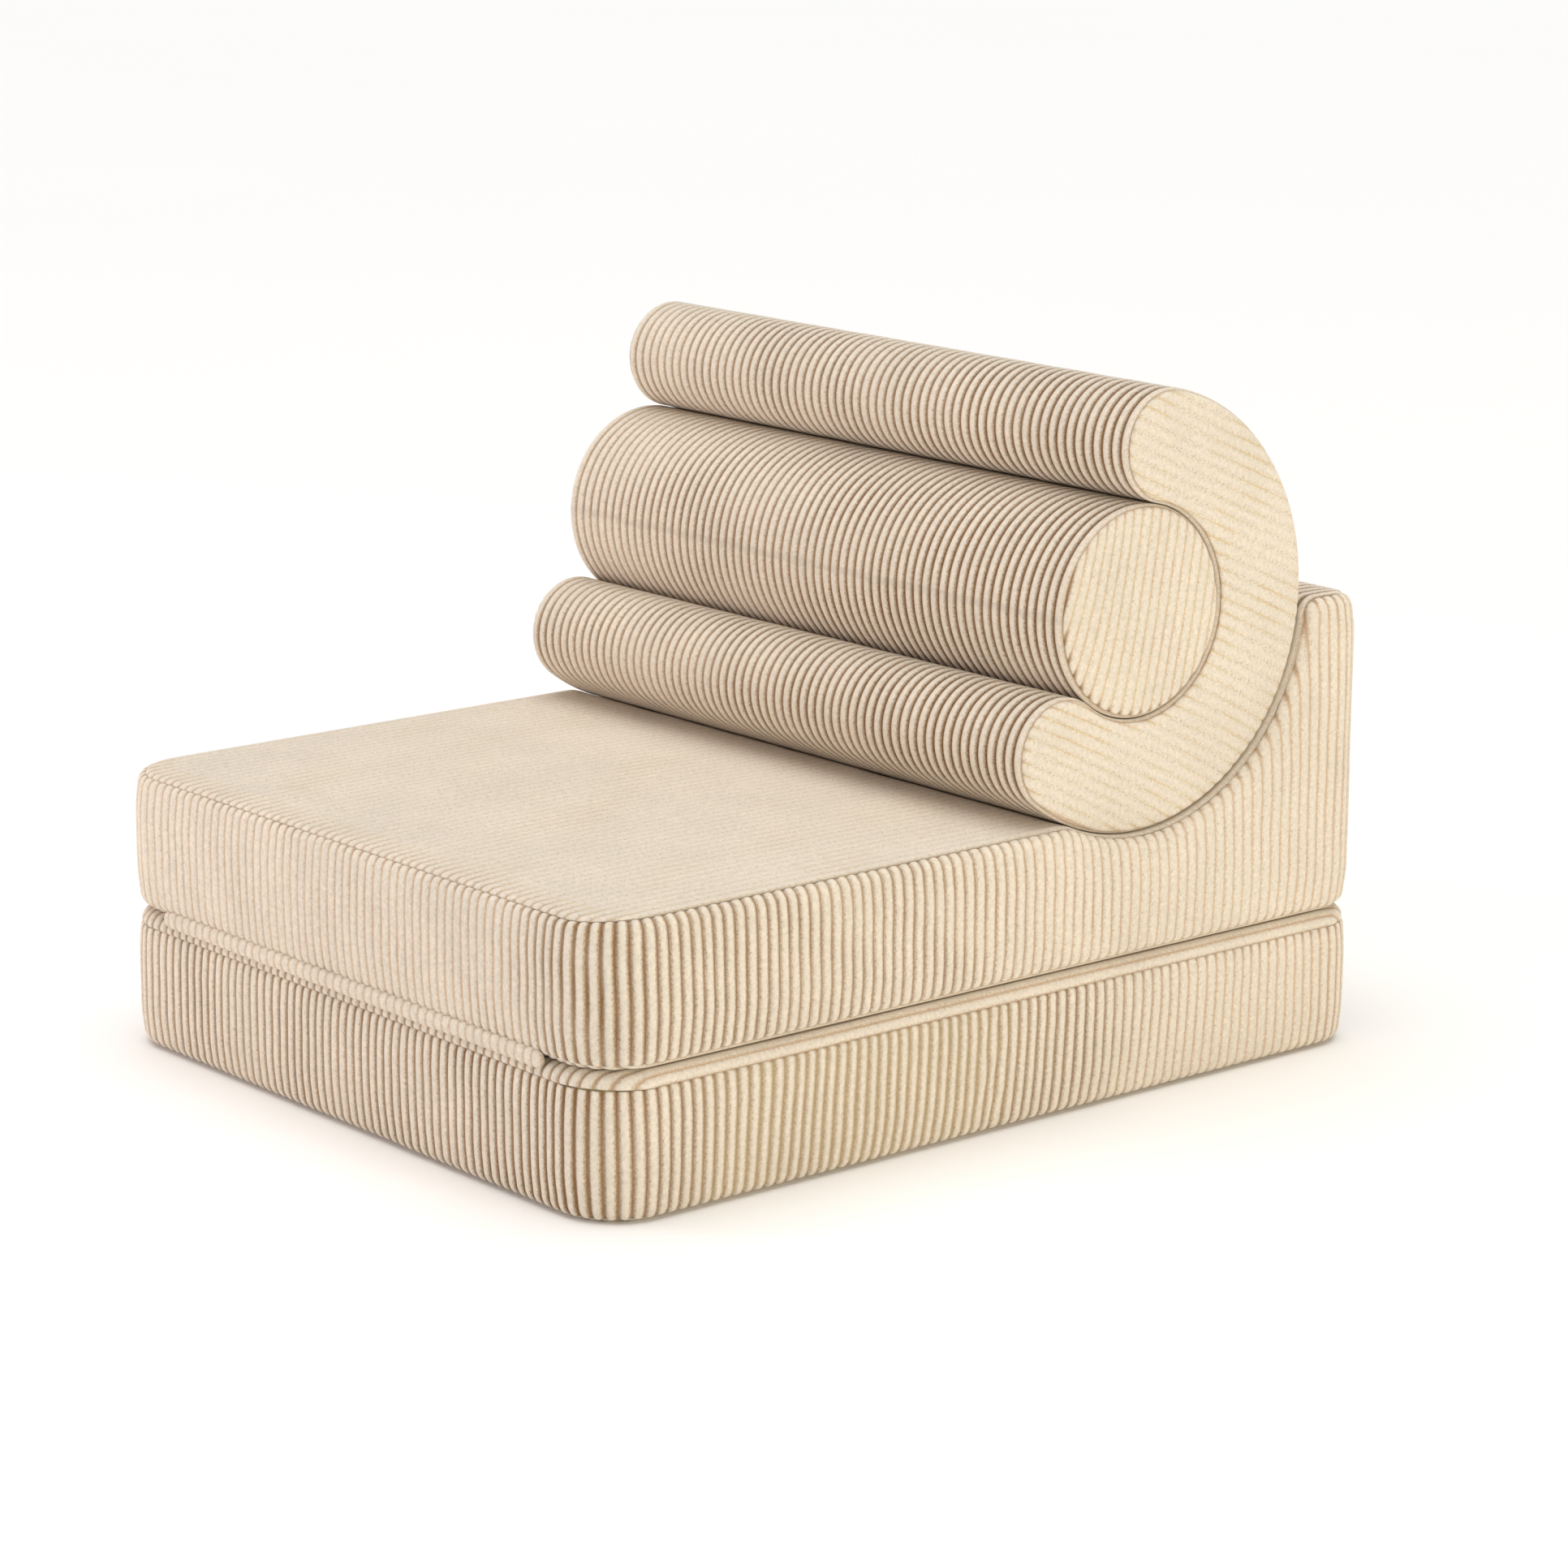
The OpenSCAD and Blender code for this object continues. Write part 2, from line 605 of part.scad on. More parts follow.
module arch_cover_end_left() { arch_cover_end(-1); }
module arch_cover_end_right() { arch_cover_end(1); }
module arch_zip_tapes() { at_arch_zip() zip_tapes(arch_zip_l, arch_tape_drop); }
module arch_zip_teeth() { at_arch_zip() zip_teeth(arch_zip_l); }
module arch_zip_slider() { at_arch_zip() at_slider(arch_zip_l) zip_slider(); }
module arch_zip_pull() { at_arch_zip() at_slider(arch_zip_l) zip_pull(); }

// Bolster
module bolster_turn() {
    translate([0, arch_y, bolster_z]) rotate([90, 0, 90]) rotate_extrude($fn = 120) children();
}
module bolster_core() {
    line = end_line(core_inset, soft_angles);
    color(foam) difference() {
        bolster_turn() polygon(concat(line, reverse(other_end(line))));
        at_bolster_zip() zip_groove(bolster_zip_l);
    }
}
module bolster_cover_wrap() {
    half = bolster_w / 2 - bolster_edge_r - seat_gap;
    color(cream) bolster_turn() translate([bolster_r - cover_t, -half]) square([cover_t, 2 * half]);
}
module bolster_cover_end(side) {
    line = concat(end_line(0, soft_angles), reverse(end_line(cover_t, soft_angles)));
    bolster_turn() polygon(side > 0 ? line : reverse(other_end(line)));
}
module bolster_cover_end_left() {
    color(cream) difference() {
        bolster_cover_end(-1);
        at_bolster_zip() zip_slot(bolster_zip_l);
    }
}
module bolster_cover_end_right() { color(cream) bolster_cover_end(1); }
module bolster_zip_tapes() { at_bolster_zip() zip_tapes(bolster_zip_l); }
module bolster_zip_teeth() { at_bolster_zip() zip_teeth(bolster_zip_l); }
module bolster_zip_slider() { at_bolster_zip() at_slider(bolster_zip_l) zip_slider(); }
module bolster_zip_pull() { at_bolster_zip() at_slider(bolster_zip_l) zip_pull(); }

// Strip of cover fabric that joins the two mattresses, laid over the notch between them
strip_back = in_y + sqrt(edge_r ^ 2 - (edge_r - (strip_h - seat_gap) / 2) ^ 2) + seat_gap;
strip_l = chair_w - 2 * strip_inset;
module hinge_strip() {
    edge = strip_t * 0.6;
    steps = 6;
    function bow(k) = [
        -strip_back - edge - (strip_t - edge) * sin(180 * k / steps), strip_h * (k / steps - 0.5)];
    color(cream) translate([-strip_l / 2, 0, mattress_t]) rotate([90, 0, 90]) linear_extrude(strip_l)
        polygon(concat(
            [[-strip_back, strip_h / 2], [-strip_back, -strip_h / 2]],
            [for (k = [0 : steps]) bow(k)]
        ));
}

foot_core();
foot_cover_top();
foot_cover_band();
foot_cover_base();
foot_zip_tapes();
foot_zip_teeth();
foot_zip_slider();
foot_zip_pull();
seat_core();
wedge_core();
seat_cover_top();
seat_cover_band();
seat_cover_base();
seat_zip_tapes();
seat_zip_teeth();
seat_zip_slider();
seat_zip_pull();
hinge_strip();
arch_core();
arch_cover_wrap();
arch_cover_end_left();
arch_cover_end_right();
arch_zip_tapes();
arch_zip_teeth();
arch_zip_slider();
arch_zip_pull();
bolster_core();
bolster_cover_wrap();
bolster_cover_end_left();
bolster_cover_end_right();
bolster_zip_tapes();
bolster_zip_teeth();
bolster_zip_slider();
bolster_zip_pull();
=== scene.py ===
"""Looks of a fold-out foam chair in wide-wale corduroy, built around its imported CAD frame.

Every cover is a surface worked out with numpy on a grid that follows the wales of the cloth, so the
ribs, the valleys between them and the way they round off at a seam are all in the mesh.
X runs across the chair, the front faces -Y, Z is up. Lengths are in metres.
"""

import bmesh
import bpy
import numpy as np
from bpy.props import FloatProperty, FloatVectorProperty, IntProperty, PointerProperty
from mathutils import Matrix, Vector


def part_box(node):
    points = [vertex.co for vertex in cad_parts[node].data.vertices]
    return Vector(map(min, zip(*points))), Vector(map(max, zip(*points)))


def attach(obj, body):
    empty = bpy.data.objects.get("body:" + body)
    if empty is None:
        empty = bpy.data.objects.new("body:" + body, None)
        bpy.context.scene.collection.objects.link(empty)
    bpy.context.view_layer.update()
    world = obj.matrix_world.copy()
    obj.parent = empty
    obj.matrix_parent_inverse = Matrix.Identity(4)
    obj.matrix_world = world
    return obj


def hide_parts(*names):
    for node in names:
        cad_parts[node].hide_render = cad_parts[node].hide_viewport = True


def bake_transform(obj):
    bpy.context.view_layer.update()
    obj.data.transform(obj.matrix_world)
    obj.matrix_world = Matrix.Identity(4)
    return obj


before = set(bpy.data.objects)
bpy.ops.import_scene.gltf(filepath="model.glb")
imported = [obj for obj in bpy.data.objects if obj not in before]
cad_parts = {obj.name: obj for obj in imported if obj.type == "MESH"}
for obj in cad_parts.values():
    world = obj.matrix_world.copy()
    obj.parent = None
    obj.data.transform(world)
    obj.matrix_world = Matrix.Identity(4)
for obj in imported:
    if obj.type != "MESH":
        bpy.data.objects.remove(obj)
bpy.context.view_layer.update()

bl_info = {
    "name": "Fold-out foam chair",
    "version": (1, 0, 0),
    "blender": (4, 5, 0),
    "location": "3D View > Sidebar > Foam Chair",
    "description": "Dresses the CAD frame of a fold-out foam chair in corduroy",
    "category": "Object",
}

MM = 0.001
DEG = np.pi / 180

# Where the vertices lie across one wale, in wales from its ridge: closer together near the valley
ACROSS_WALE = np.array([-0.5, -0.44, -0.34, -0.19, 0.0, 0.19, 0.34, 0.44])
# Where the panels of a mattress end on its soft edge, in front or behind and at the sides, from
# straight up or straight down. The seat's top bends over in front and stops behind the band's
# wales at the sides, and the foot's top shows as a smooth lip.
SEAT_TOP_SEAM, SEAT_BASE_SEAM = (38 * DEG, 14 * DEG), (38 * DEG, 38 * DEG)
FOOT_TOP_SEAM, FOOT_BASE_SEAM = (88 * DEG, 88 * DEG), (24 * DEG, 24 * DEG)
END_SEAM_ANGLE = 40 * DEG  # where a wrap ends on the soft edge of a round end
BACKING = 2.9 * MM  # depth of a cover's back below its ridges
OUT_OF_REACH = 1.0  # farther than any place on the chair
LUMP, PANEL_DIP = 0.25 * MM, 0.35 * MM  # unevenness of a band's and a panel's cloth
# How far the wales of a band, a panel and a wrap wander
WALE_SWAY, PANEL_SWAY, WRAP_SWAY = 1 * MM, 1.2 * MM, 0.9 * MM
# How far they waver where the ends of a band are sewn together, and over what width
JOIN_SWAY, JOIN_WIDTH = 1.5 * MM, 17 * MM
SLUMP = 5  # how far the wedge's top sinks, in mm
END_STEP = 1.3 * MM  # from one row of a round end to the next
# Rows of vertices beside a seam, measured from it
SEAM_ROWS = np.array([0, 0.5, 1.1, 1.9, 2.9, 4.2, 6, 8.5, 12, 16]) * MM
# What is added to the seed for each piece, so that their unevenness differs
SEEDS = {
    "foot_top_panel": 1, "foot_side_band": 2, "foot_base_panel": 3, "seat_top_panel": 4,
    "seat_side_band": 5, "seat_base_panel": 6, "arch_wrap": 7, "arch_end_left": 7,
    "arch_end_right": 9, "bolster_wrap": 11, "bolster_end_left": 12, "bolster_end_right": 14,
    "hinge_fabric": 20,
}
ZIP_SLOT = 10.2 * MM  # width of the slots that the zips lie in, and half their lengths
ZIP_HALF, ARCH_ZIP_HALF, BOLSTER_ZIP_HALF = 243 * MM, 230 * MM, 58 * MM
ARCH_ZIP_ANGLE = 14 * DEG  # above straight back
# How far the bands' pile is pressed, at shares of the walk round the plan. It stays open where
# the cloth bends round a corner, near 0.12, 0.37, 0.63 and 0.88.
SEAT_PRESSED = ((0, 0.4), (0.09, 0.4), (0.14, 0.7), (0.21, 0.6), (0.27, 0.2), (0.34, 0.05),
                (0.355, 0), (0.385, 0), (0.4, 0.2), (0.42, 0.6), (0.6, 0.75), (0.63, 0),
                (0.66, 0.3), (0.86, 0.5), (0.89, 0), (1, 0.4))
FOOT_PRESSED = ((0, 0.4), (0.1, 0), (0.14, 0.7), (0.18, 0.6), (0.27, -0.4), (0.34, -0.4),
                (0.365, 0), (0.385, 0), (0.44, 0.15), (0.6, 0.35), (0.63, 0), (0.66, 0.3),
                (0.86, 0.5), (0.89, 0), (1, 0.4))
# How far a band's wales lean back as they rise, over the height
FOOT_TILTED = ((0.13, 0), (0.2, 0.06), (0.33, 0.08), (0.36, 0))
SEAT_TILTED = ((0, 0), (1, 0))
FOOT_JOIN, SEAT_JOIN = 0.258, 0.08  # where a band's ends are sewn together
WRAP_PRESSED = (0.34, -0.04)  # how far the wraps' pile is pressed at the left and the right end
# How far the ridges lean forwards over the right side and its front corner, in wales
LEANED = ((0.14, 0), (0.2, 0.12), (0.33, 0.15), (0.39, 0.13), (0.42, 0.03), (0.62, 0.03), (0.7, 0))


def linear(hex_colour):
    """Linear RGBA of an sRGB hex colour."""
    c = np.array([int(hex_colour[k : k + 2], 16) for k in (1, 3, 5)]) / 255
    c = np.where(c <= 0.04045, c / 12.92, ((c + 0.055) / 1.055) ** 2.4)
    return (*c.tolist(), 1.0)


def colour_property(name, description, hex_colour):
    return FloatVectorProperty(
        name=name, description=description, default=linear(hex_colour), subtype="COLOR", size=4,
        min=0, max=1)


def length_property(name, description, value):
    return FloatProperty(name=name, description=description, default=value, unit="LENGTH", min=0)


def angle_property(name, description, degrees):
    return FloatProperty(
        name=name, description=description, default=degrees * DEG, subtype="ANGLE")


class ChairSizes(bpy.types.PropertyGroup):
    """Lengths of the chair, as in its CAD source, apart from the soft edges of the arch's and the
    bolster's ends, which the covers fill out."""

    width: length_property("Width", "Width of both mattresses", 0.6)
    depth: length_property("Depth", "Depth of both mattresses", 0.725)
    mattress: length_property("Mattress", "Thickness of each mattress", 0.105)
    front_corner: length_property("Front corner", "Radius of the upright front corners", 0.05)
    back_corner: length_property("Back corner", "Radius of the upright back corners", 0.04)
    edge: length_property("Soft edge", "Radius round the top and the bottom of a mattress", 0.012)
    crown: length_property("Crown", "How far the middle of the seat stands up", 0.004)
    swell: length_property("Swell", "How far the sides swell between seams", 0.002)
    swell_ramp: length_property("Swell ramp", "Height over which a side draws in to a seam", 0.026)
    wedge: length_property("Wedge", "Height of the wedge above the seat", 0.14)
    wedge_wall: length_property("Wedge wall", "Foam behind the deepest part of the cradle", 0.068)
    sink: length_property("Sink", "How far the arch sinks below the seat", 0.0165)
    seat_lip: length_property("Seat lip", "Radius where the seat turns into the cradle", 0.03)
    wedge_lip: length_property("Wedge lip", "Radius at the top of the wedge", 0.016)
    gap: length_property("Gap", "Play between pieces that touch", 0.0003)
    arch_inset: length_property("Arch inset", "From the side of the seat to the arch's end", 0.013)
    arch_radius: length_property("Arch radius", "Outside radius of the arch", 0.1605)
    arch_thick: length_property("Arch thickness", "Thickness of the arch", 0.083)
    arm_up: angle_property("Upper arm", "Angle of the upper arm's end above straight back", 78)
    arm_down: angle_property("Lower arm", "Angle of the lower arm's end below straight back", 128)
    arch_edge: length_property("Arch edge", "Radius of the soft edge of the arch's ends", 0.0055)
    bolster_inset: length_property("Bolster inset", "From the side to the bolster's end", 0.014)
    bolster_play: length_property("Bolster play", "Play of the bolster in the arch", 0.0025)
    bolster_edge: length_property("Bolster edge", "Radius of the soft edge of its ends", 0.0055)
    end_crown: length_property("End crown", "How far the middle of an end stands proud", 0.0015)


class CordLook(bpy.types.PropertyGroup):
    """Weave and colours of the corduroy."""

    pitch: length_property("Wale pitch", "From one wale to the next", 0.0093)
    height: length_property("Wale height", "From a ridge down to the valley", 0.0023)
    rounding: FloatProperty(
        name="Wale rounding", description="2 gives a parabola, more a fuller rib", default=2.1,
        min=1, max=8,
    )
    seam_draw: length_property("Seam draw", "How far a seam pulls the cloth in", 0.0004)
    seed: IntProperty(name="Seed", description="Seed of the cloth's small unevenness", default=7)
    ridge: colour_property("Ridge", "Cut pile on top of a wale", "#F0E4D2")
    # the parted and open valley colours are partly the cloth's own and partly painted shade, darker
    # and warmer than the ground weave
    parted: colour_property("Parted valley", "Side of wales that lie over", "#B69A6C")
    valley: colour_property("Valley", "Ground weave between open wales", "#8A5F2A")
    shallow: colour_property("Shallow valley", "Valley between wales half pressed", "#DBBE9E")
    closed: colour_property("Closed valley", "Valley between wales pressed together", "#E2CA9C")
    fleck: colour_property("Fleck", "Parted pile on a wale's side", "#B9A486")


class StageLook(bpy.types.PropertyGroup):
    """Floor and camera."""

    floor: colour_property("Floor", "Plain studio floor", "#FBFAF8")
    lens: FloatProperty(
        name="Lens", description="Focal length on a 36 mm sensor", default=108.483,
        subtype="DISTANCE_CAMERA",
    )
    azimuth: angle_property("Azimuth", "Camera's turn from the front", 50.21)
    elevation: angle_property("Elevation", "Camera's height angle", 13.67)
    roll: angle_property("Roll", "Camera's tilt", 0.19)
    distance: length_property("Distance", "From the camera to its target", 3.6435)
    target: FloatVectorProperty(
        name="Target", description="Point that the camera is aimed at", subtype="XYZ",
        unit="LENGTH", default=(-0.07611, 0.10533, 0.16508),
    )


# Meshes


def add_piece(name, points, quads, polygons=(), cord=None):
    """A mesh object from vertices, an array of quads and a few longer polygons.

    cord is the cloth's own coordinates at each vertex: wales across, metres along, metres from
    the nearest seam, and how far its pile is pressed. The materials read them as attributes.
    """
    mesh = bpy.data.meshes.new(name)
    loops = np.concatenate([np.ravel(faces) for faces in (quads, *polygons)]).astype(np.int32)
    totals = np.array([4] * len(quads) + [len(p) for p in polygons], np.int32)
    starts = (np.cumsum(totals) - totals).astype(np.int32)
    for items, fields in (
        (mesh.vertices, {"co": np.asarray(points, np.float32)}),
        (mesh.loops, {"vertex_index": loops}),
        (mesh.polygons, {"loop_start": starts, "loop_total": totals}),
    ):
        items.add(len(next(iter(fields.values()))))
        for field, values in fields.items():
            items.foreach_set(field, values.ravel())
    mesh.update(calc_edges=True)
    mesh.shade_smooth()
    if cord is not None:
        cord = np.asarray(cord, np.float32)
        for attribute, kind, field, values in (
            ("cord", "FLOAT_VECTOR", "vector", cord[:, :3]),
            ("press", "FLOAT", "value", cord[:, 3]),
        ):
            layer = mesh.attributes.new(attribute, kind, "POINT")
            layer.data.foreach_set(field, values.ravel())
    piece = bpy.data.objects.new(name, mesh)
    bpy.context.scene.collection.objects.link(piece)
    return piece


def grid_quads(rows, columns, start=0, around=False, flip=False):
    """Quads of a grid of points, row after row, whose columns may close into a ring."""
    i = np.arange(rows - 1)[:, None]
    j = np.arange(columns if around else columns - 1)
    i2, j2 = i + 1, (j + 1) % columns
    quads = np.stack(
        [i * columns + j, i * columns + j2, i2 * columns + j2, i2 * columns + j], -1)
    quads = quads.reshape(-1, 4) + start
    return quads[:, ::-1] if flip else quads


def closed_panel(name, outer, inner, kept_rows, cord, around=False, flip=False, hole=None):
    """A panel of cloth with a thickness: the outer grid, an inner grid of some of its rows, and
    the walls between them at the first row, at the last row and at the sides.

    around closes the columns into a ring. hole is a block of the grid to leave open, as row and
    column numbers that are all in kept_rows.
    """
    n, m = outer.shape[:2]
    k, start = len(kept_rows), n * m
    rows = np.asarray(kept_rows)
    i, j = np.arange(n - 1)[:, None], np.arange(m if around else m - 1)
    quads = grid_quads(n, m, 0, around, flip)
    back = grid_quads(k, m, start, around, not flip)

    def row_wall(j, row, kept, turned=False):
        """The wall along a stretch of one row, a quad from each column to the next."""
        a, b = (j, (j + 1) % m) if turned else ((j + 1) % m, j)
        return np.stack([row * m + a, row * m + b, start + kept * m + b, start + kept * m + a], -1)

    def side_wall(first, last, column, turned):
        """The wall down one column, a polygon from each kept row to the next."""
        faces = [
            [row * m + column for row in range(kept_rows[q], kept_rows[q + 1] + 1)]
            + [start + (q + 1) * m + column, start + q * m + column] for q in range(first, last)]
        return [face[::-1] for face in faces] if turned else faces

    walls = [row_wall(j, 0, 0), row_wall(j, n - 1, k - 1, True)]
    polygons = []
    if hole:
        top, bottom, left, right = hole
        beside = (j < left) | (j >= right)
        quads = quads[((i < top) | (i >= bottom) | beside).ravel()]
        back = back[((rows[:-1, None] < top) | (rows[1:, None] > bottom) | beside).ravel()]
        first, last = kept_rows.index(top), kept_rows.index(bottom)
        edge = np.arange(left, right)
        walls += [row_wall(edge, top, first, True), row_wall(edge, bottom, last)]
        polygons += side_wall(first, last, left, True) + side_wall(first, last, right, False)
    if not around:
        polygons += side_wall(0, k - 1, 0, False) + side_wall(0, k - 1, m - 1, True)
    walls = np.concatenate(walls)
    if flip:
        walls, polygons = walls[:, ::-1], [p[::-1] for p in polygons]
    points = np.concatenate([outer.reshape(-1, 3), inner.reshape(-1, 3)])
    cord = np.concatenate([cord.reshape(-1, 4), np.zeros((k * m, 4))])
    return add_piece(name, points, np.concatenate([quads, back, walls]), polygons, cord)


# Cloth


def sway(a, b, seed, shortest=0.06, longest=0.3):
    """Smooth unevenness between about -1 and 1 at the points (a, b): the sum of six sine waves of
    seeded direction, length and phase, over its own spread."""
    rng = np.random.RandomState(seed)
    total = np.zeros(np.broadcast(a, b).shape)
    for _ in range(6):
        turn, wave, phase = rng.uniform(0, np.pi), rng.uniform(shortest, longest), rng.uniform(0, 7)
        total += np.sin((a * np.cos(turn) + b * np.sin(turn)) * 2 * np.pi / wave + phase)
    return total / 3.5


def on_circle(angle):
    """The point or points of a unit circle at an angle."""
    return np.stack([np.cos(angle), np.sin(angle)], -1)


def rib(phase, look, leaned=0):
    """Height of the pile over the ground weave, from 0 to 1: one at the ridge, falling away to
    either valley as the share of the way there, to the power of the rounding. The ridge is at a
    whole phase, or leaned away from it."""
    off = phase - np.round(phase) - leaned
    return 1 - np.abs(off / np.where(off > 0, 0.5 - leaned, 0.5 + leaned)) ** look.rounding


def round_edge(across, straight, edge):
    """Distances along the cloth from the middle, turned into distances in plan: straight, and
    then round the soft edge's circle. Also the angle turned there."""
    turn = np.maximum(np.abs(across) - straight, 0) / edge
    return np.sign(across) * (np.minimum(np.abs(across), straight) + edge * np.sin(turn)), turn


def rib_end(from_seam):
    """A rib rounds off to nothing at a seam, as a quarter of an ellipse 3.6 mm long."""
    t = np.clip(from_seam / (3.6 * MM), 0, 1)
    return np.sqrt(1 - (1 - t) ** 2)


def smooth(value, low, high):
    """0 below low, 1 above high, and the cubic 3t^2 - 2t^3 between."""
    t = np.clip((value - low) / (high - low), 0, 1)
    return t * t * (3 - 2 * t)


def pile_depth(phase, along, from_seam, look, seed, press, leaned=0):
    """How far the cloth lies below its ridge line: the wale's own fall, rounded off at a seam,
    small differences between wales, and the seam's pull, which fades over 2 mm. Pressed pile
    closes its valleys: at a press of 1 a tenth of their depth is left. Below 0 the pile is
    parted, which only shows in its colour."""
    wale = np.round(phase)
    uneven = 0.16 * np.sin(wale * 12.9898 + seed) + 0.1 * sway(along, wale * 0.02, seed + 50)
    full = look.height * (1 - 0.9 * np.maximum(press, 0))
    height = full * (1 - 0.5 * np.abs(uneven))
    stand = rib(phase, look, leaned) * rib_end(from_seam)
    return full - height * stand + look.seam_draw * np.exp(-((from_seam / (2 * MM)) ** 2))


def cord_table(phase, along, seam, press):
    """The cloth's own coordinates of a grid of points, as add_piece takes them."""
    return np.stack(np.broadcast_arrays(phase, along, seam, press), -1)


def wale_columns(count, open_end):
    """Phases of the columns of vertices over a number of wales, from the first valley on."""
    phases = (np.arange(count)[:, None] + ACROSS_WALE[None, :]).ravel()
    return np.append(phases, count - 0.5) if open_end else phases


# Mattresses


class Mattress:
    """Plan and side profile of one mattress. The plan is set in by the swell of the sides and the
    soft edge's radius."""

    def __init__(self, sizes, base, top, wedged, top_seam=SEAT_TOP_SEAM,
                 base_seam=SEAT_BASE_SEAM):
        self.s, self.base, self.top, self.wedged = sizes, base, top, wedged
        self.top_seam, self.base_seam = top_seam, base_seam
        self.half_x = sizes.width / 2 - sizes.swell - sizes.edge
        self.half_y = sizes.depth / 2 - sizes.swell - sizes.edge
        self.front_r = sizes.front_corner - sizes.edge
        self.back_r = sizes.back_corner - sizes.edge
        self.cradle_r = cradle = sizes.arch_radius + sizes.gap
        ay = sizes.depth / 2 - sizes.wedge_wall - cradle
        az = 2 * sizes.mattress - sizes.sink + cradle
        self.arch = np.array([ay, az])
        self.wedge_top = 2 * sizes.mattress + sizes.wedge

        def lip(side, radius, height):
            """Centre of a lip's circle below a height, which touches the cradle's circle in front
            or behind, and the direction from it to the arch's axis."""
            y = ay + side * np.sqrt((cradle + radius) ** 2 - (az - height + radius) ** 2)
            centre = np.array([y, height - radius])
            return centre, np.arctan2(az - centre[1], ay - centre[0])

        if wedged:
            self.lip_c, self.lip_end = lip(-1, sizes.seat_lip, top)
            self.wedge_c, self.wedge_start = lip(1, sizes.wedge_lip, self.wedge_top)

    def line(self, fine=True):
        """The profile from front to back: y, z, and its normal's y and z, as one table.

        Flat, then round the lip, down and up the cradle's arc about the arch's axis, round the
        wedge's lip and flat again. The flats run on past the plan by the soft edge's radius."""
        reach = self.half_y + self.s.edge

        def flat(y0, y1, z, step):
            y = np.linspace(y0, y1, max(2, int(round((y1 - y0) / step)) + 1))
            return np.stack([y, np.full_like(y, z), 0 * y, 0 * y + 1], -1)

        def arc(centre, radius, a0, a1, side, count):
            n = on_circle(np.linspace(a0, a1, count + 1))
            return np.concatenate([centre + radius * n, side * n], -1)[:-1]

        if not self.wedged:
            return flat(-reach, reach, self.top, 2 * MM if fine else 45 * MM)
        steps = 8 if fine else 1
        return np.concatenate([
            flat(-reach, self.lip_c[0], self.top, 2 * MM if fine else 24 * MM)[:-1],
            arc(self.lip_c, self.s.seat_lip, np.pi / 2, self.lip_end, 1, 4 * steps),
            arc(self.arch, self.cradle_r, self.lip_end - np.pi, self.wedge_start - np.pi, -1,
                30 * steps),
            arc(self.wedge_c, self.s.wedge_lip, self.wedge_start, np.pi / 2, 1, 9 * steps),
            flat(self.wedge_c[0], reach, self.wedge_top, 2 * MM)])

    def table(self):
        """The profile with its own length first."""
        line = self.line()
        step = np.hypot(*np.diff(line[:, :2], axis=0).T)
        return np.concatenate([[0], np.cumsum(step)]), line

    def below_profile(self, y, z):
        """Distance of points on the side below the profile, and the direction to it.

        The least of: below a flat, inside a lip's circle along its radius, and outside the
        cradle's circle along its radius, each only where its own radius or normal reaches."""
        ey, ez = np.zeros_like(z), np.ones_like(z)
        if not self.wedged:
            return self.top - z, ey, ez
        flat = np.where(y <= self.lip_c[0], self.top - z,
                        np.where(y >= self.wedge_c[0], self.wedge_top - z, OUT_OF_REACH))
        choices = [(flat, ey, ez)]
        for centre, radius, start, end, inside in (
            (self.lip_c, self.s.seat_lip, self.lip_end, np.pi / 2, 1),
            (self.wedge_c, self.s.wedge_lip, np.pi / 2, self.wedge_start, 1),
            (self.arch, self.cradle_r, self.lip_end - np.pi, self.wedge_start - np.pi, -1),
        ):
            dy, dz = y - centre[0], z - centre[1]
            r, angle = np.hypot(dy, dz) + 1e-9, np.arctan2(dz, dy)
            reached = (angle >= start - 1e-6) & (angle <= end + 1e-6)
            choices.append((np.where(reached, inside * (radius - r), OUT_OF_REACH),
                            inside * dy / r, inside * dz / r))
        depth, ey, ez = (np.array(part) for part in zip(*choices))
        nearest = depth.argmin(0)[None]
        return tuple(np.take_along_axis(part, nearest, 0)[0] for part in (depth, ey, ez))

    def plan(self):
        """Walk round the plan, from the middle of the back over the right side: distance along the
        outside, x, y, normal x and y, distance along the side from front to back, and the phase of
        the wales, which are a tenth wider round the corners."""
        hx, hy, f, b = self.half_x, self.half_y, self.front_r, self.back_r
        points = [[0, hy, 0, 1]]
        for cx, cy, r, start in (
            (hx - b, hy - b, b, 90), (hx - f, f - hy, f, 0), (f - hx, f - hy, f, -90),
            (b - hx, hy - b, b, -180),
        ):
            a = np.linspace(start, start - 90, 37) * DEG
            points += np.stack(
                [cx + r * np.cos(a), cy + r * np.sin(a), np.cos(a), np.sin(a)], -1).tolist()
        points = np.array(points + [[0, hy, 0, 1]])
        outside = points[:, :2] + (self.s.edge + self.s.swell) * points[:, 2:]
        step = np.hypot(*np.diff(outside, axis=0).T)
        u = np.concatenate([[0], np.cumsum(step)])
        turning = np.abs(np.diff(points[:, 2])) + np.abs(np.diff(points[:, 3])) > 1e-9
        wales = np.concatenate([[0], np.cumsum(step / np.where(turning, 1.1, 1.0))])
        return u, points, wales

    def seam_angle(self, nx, ny, y, seam):
        """Angle of a seam on its soft edge where the plan faces (nx, ny). Round a corner the seam
        is an ellipse between its reach past the set-in plan in front and at the side."""
        r = np.where(y < 0, self.front_r, self.back_r)
        front, side = (self.s.edge * np.sin(a) for a in seam)
        reach = 1 / np.hypot(nx / (r + side), ny / (r + front)) - r
        return np.arcsin(np.clip(reach / self.s.edge, 0, 1))

    def seam_drop(self, angle):
        """How far a seam lies below the top of its soft edge."""
        return self.s.edge * (1 - np.cos(angle))

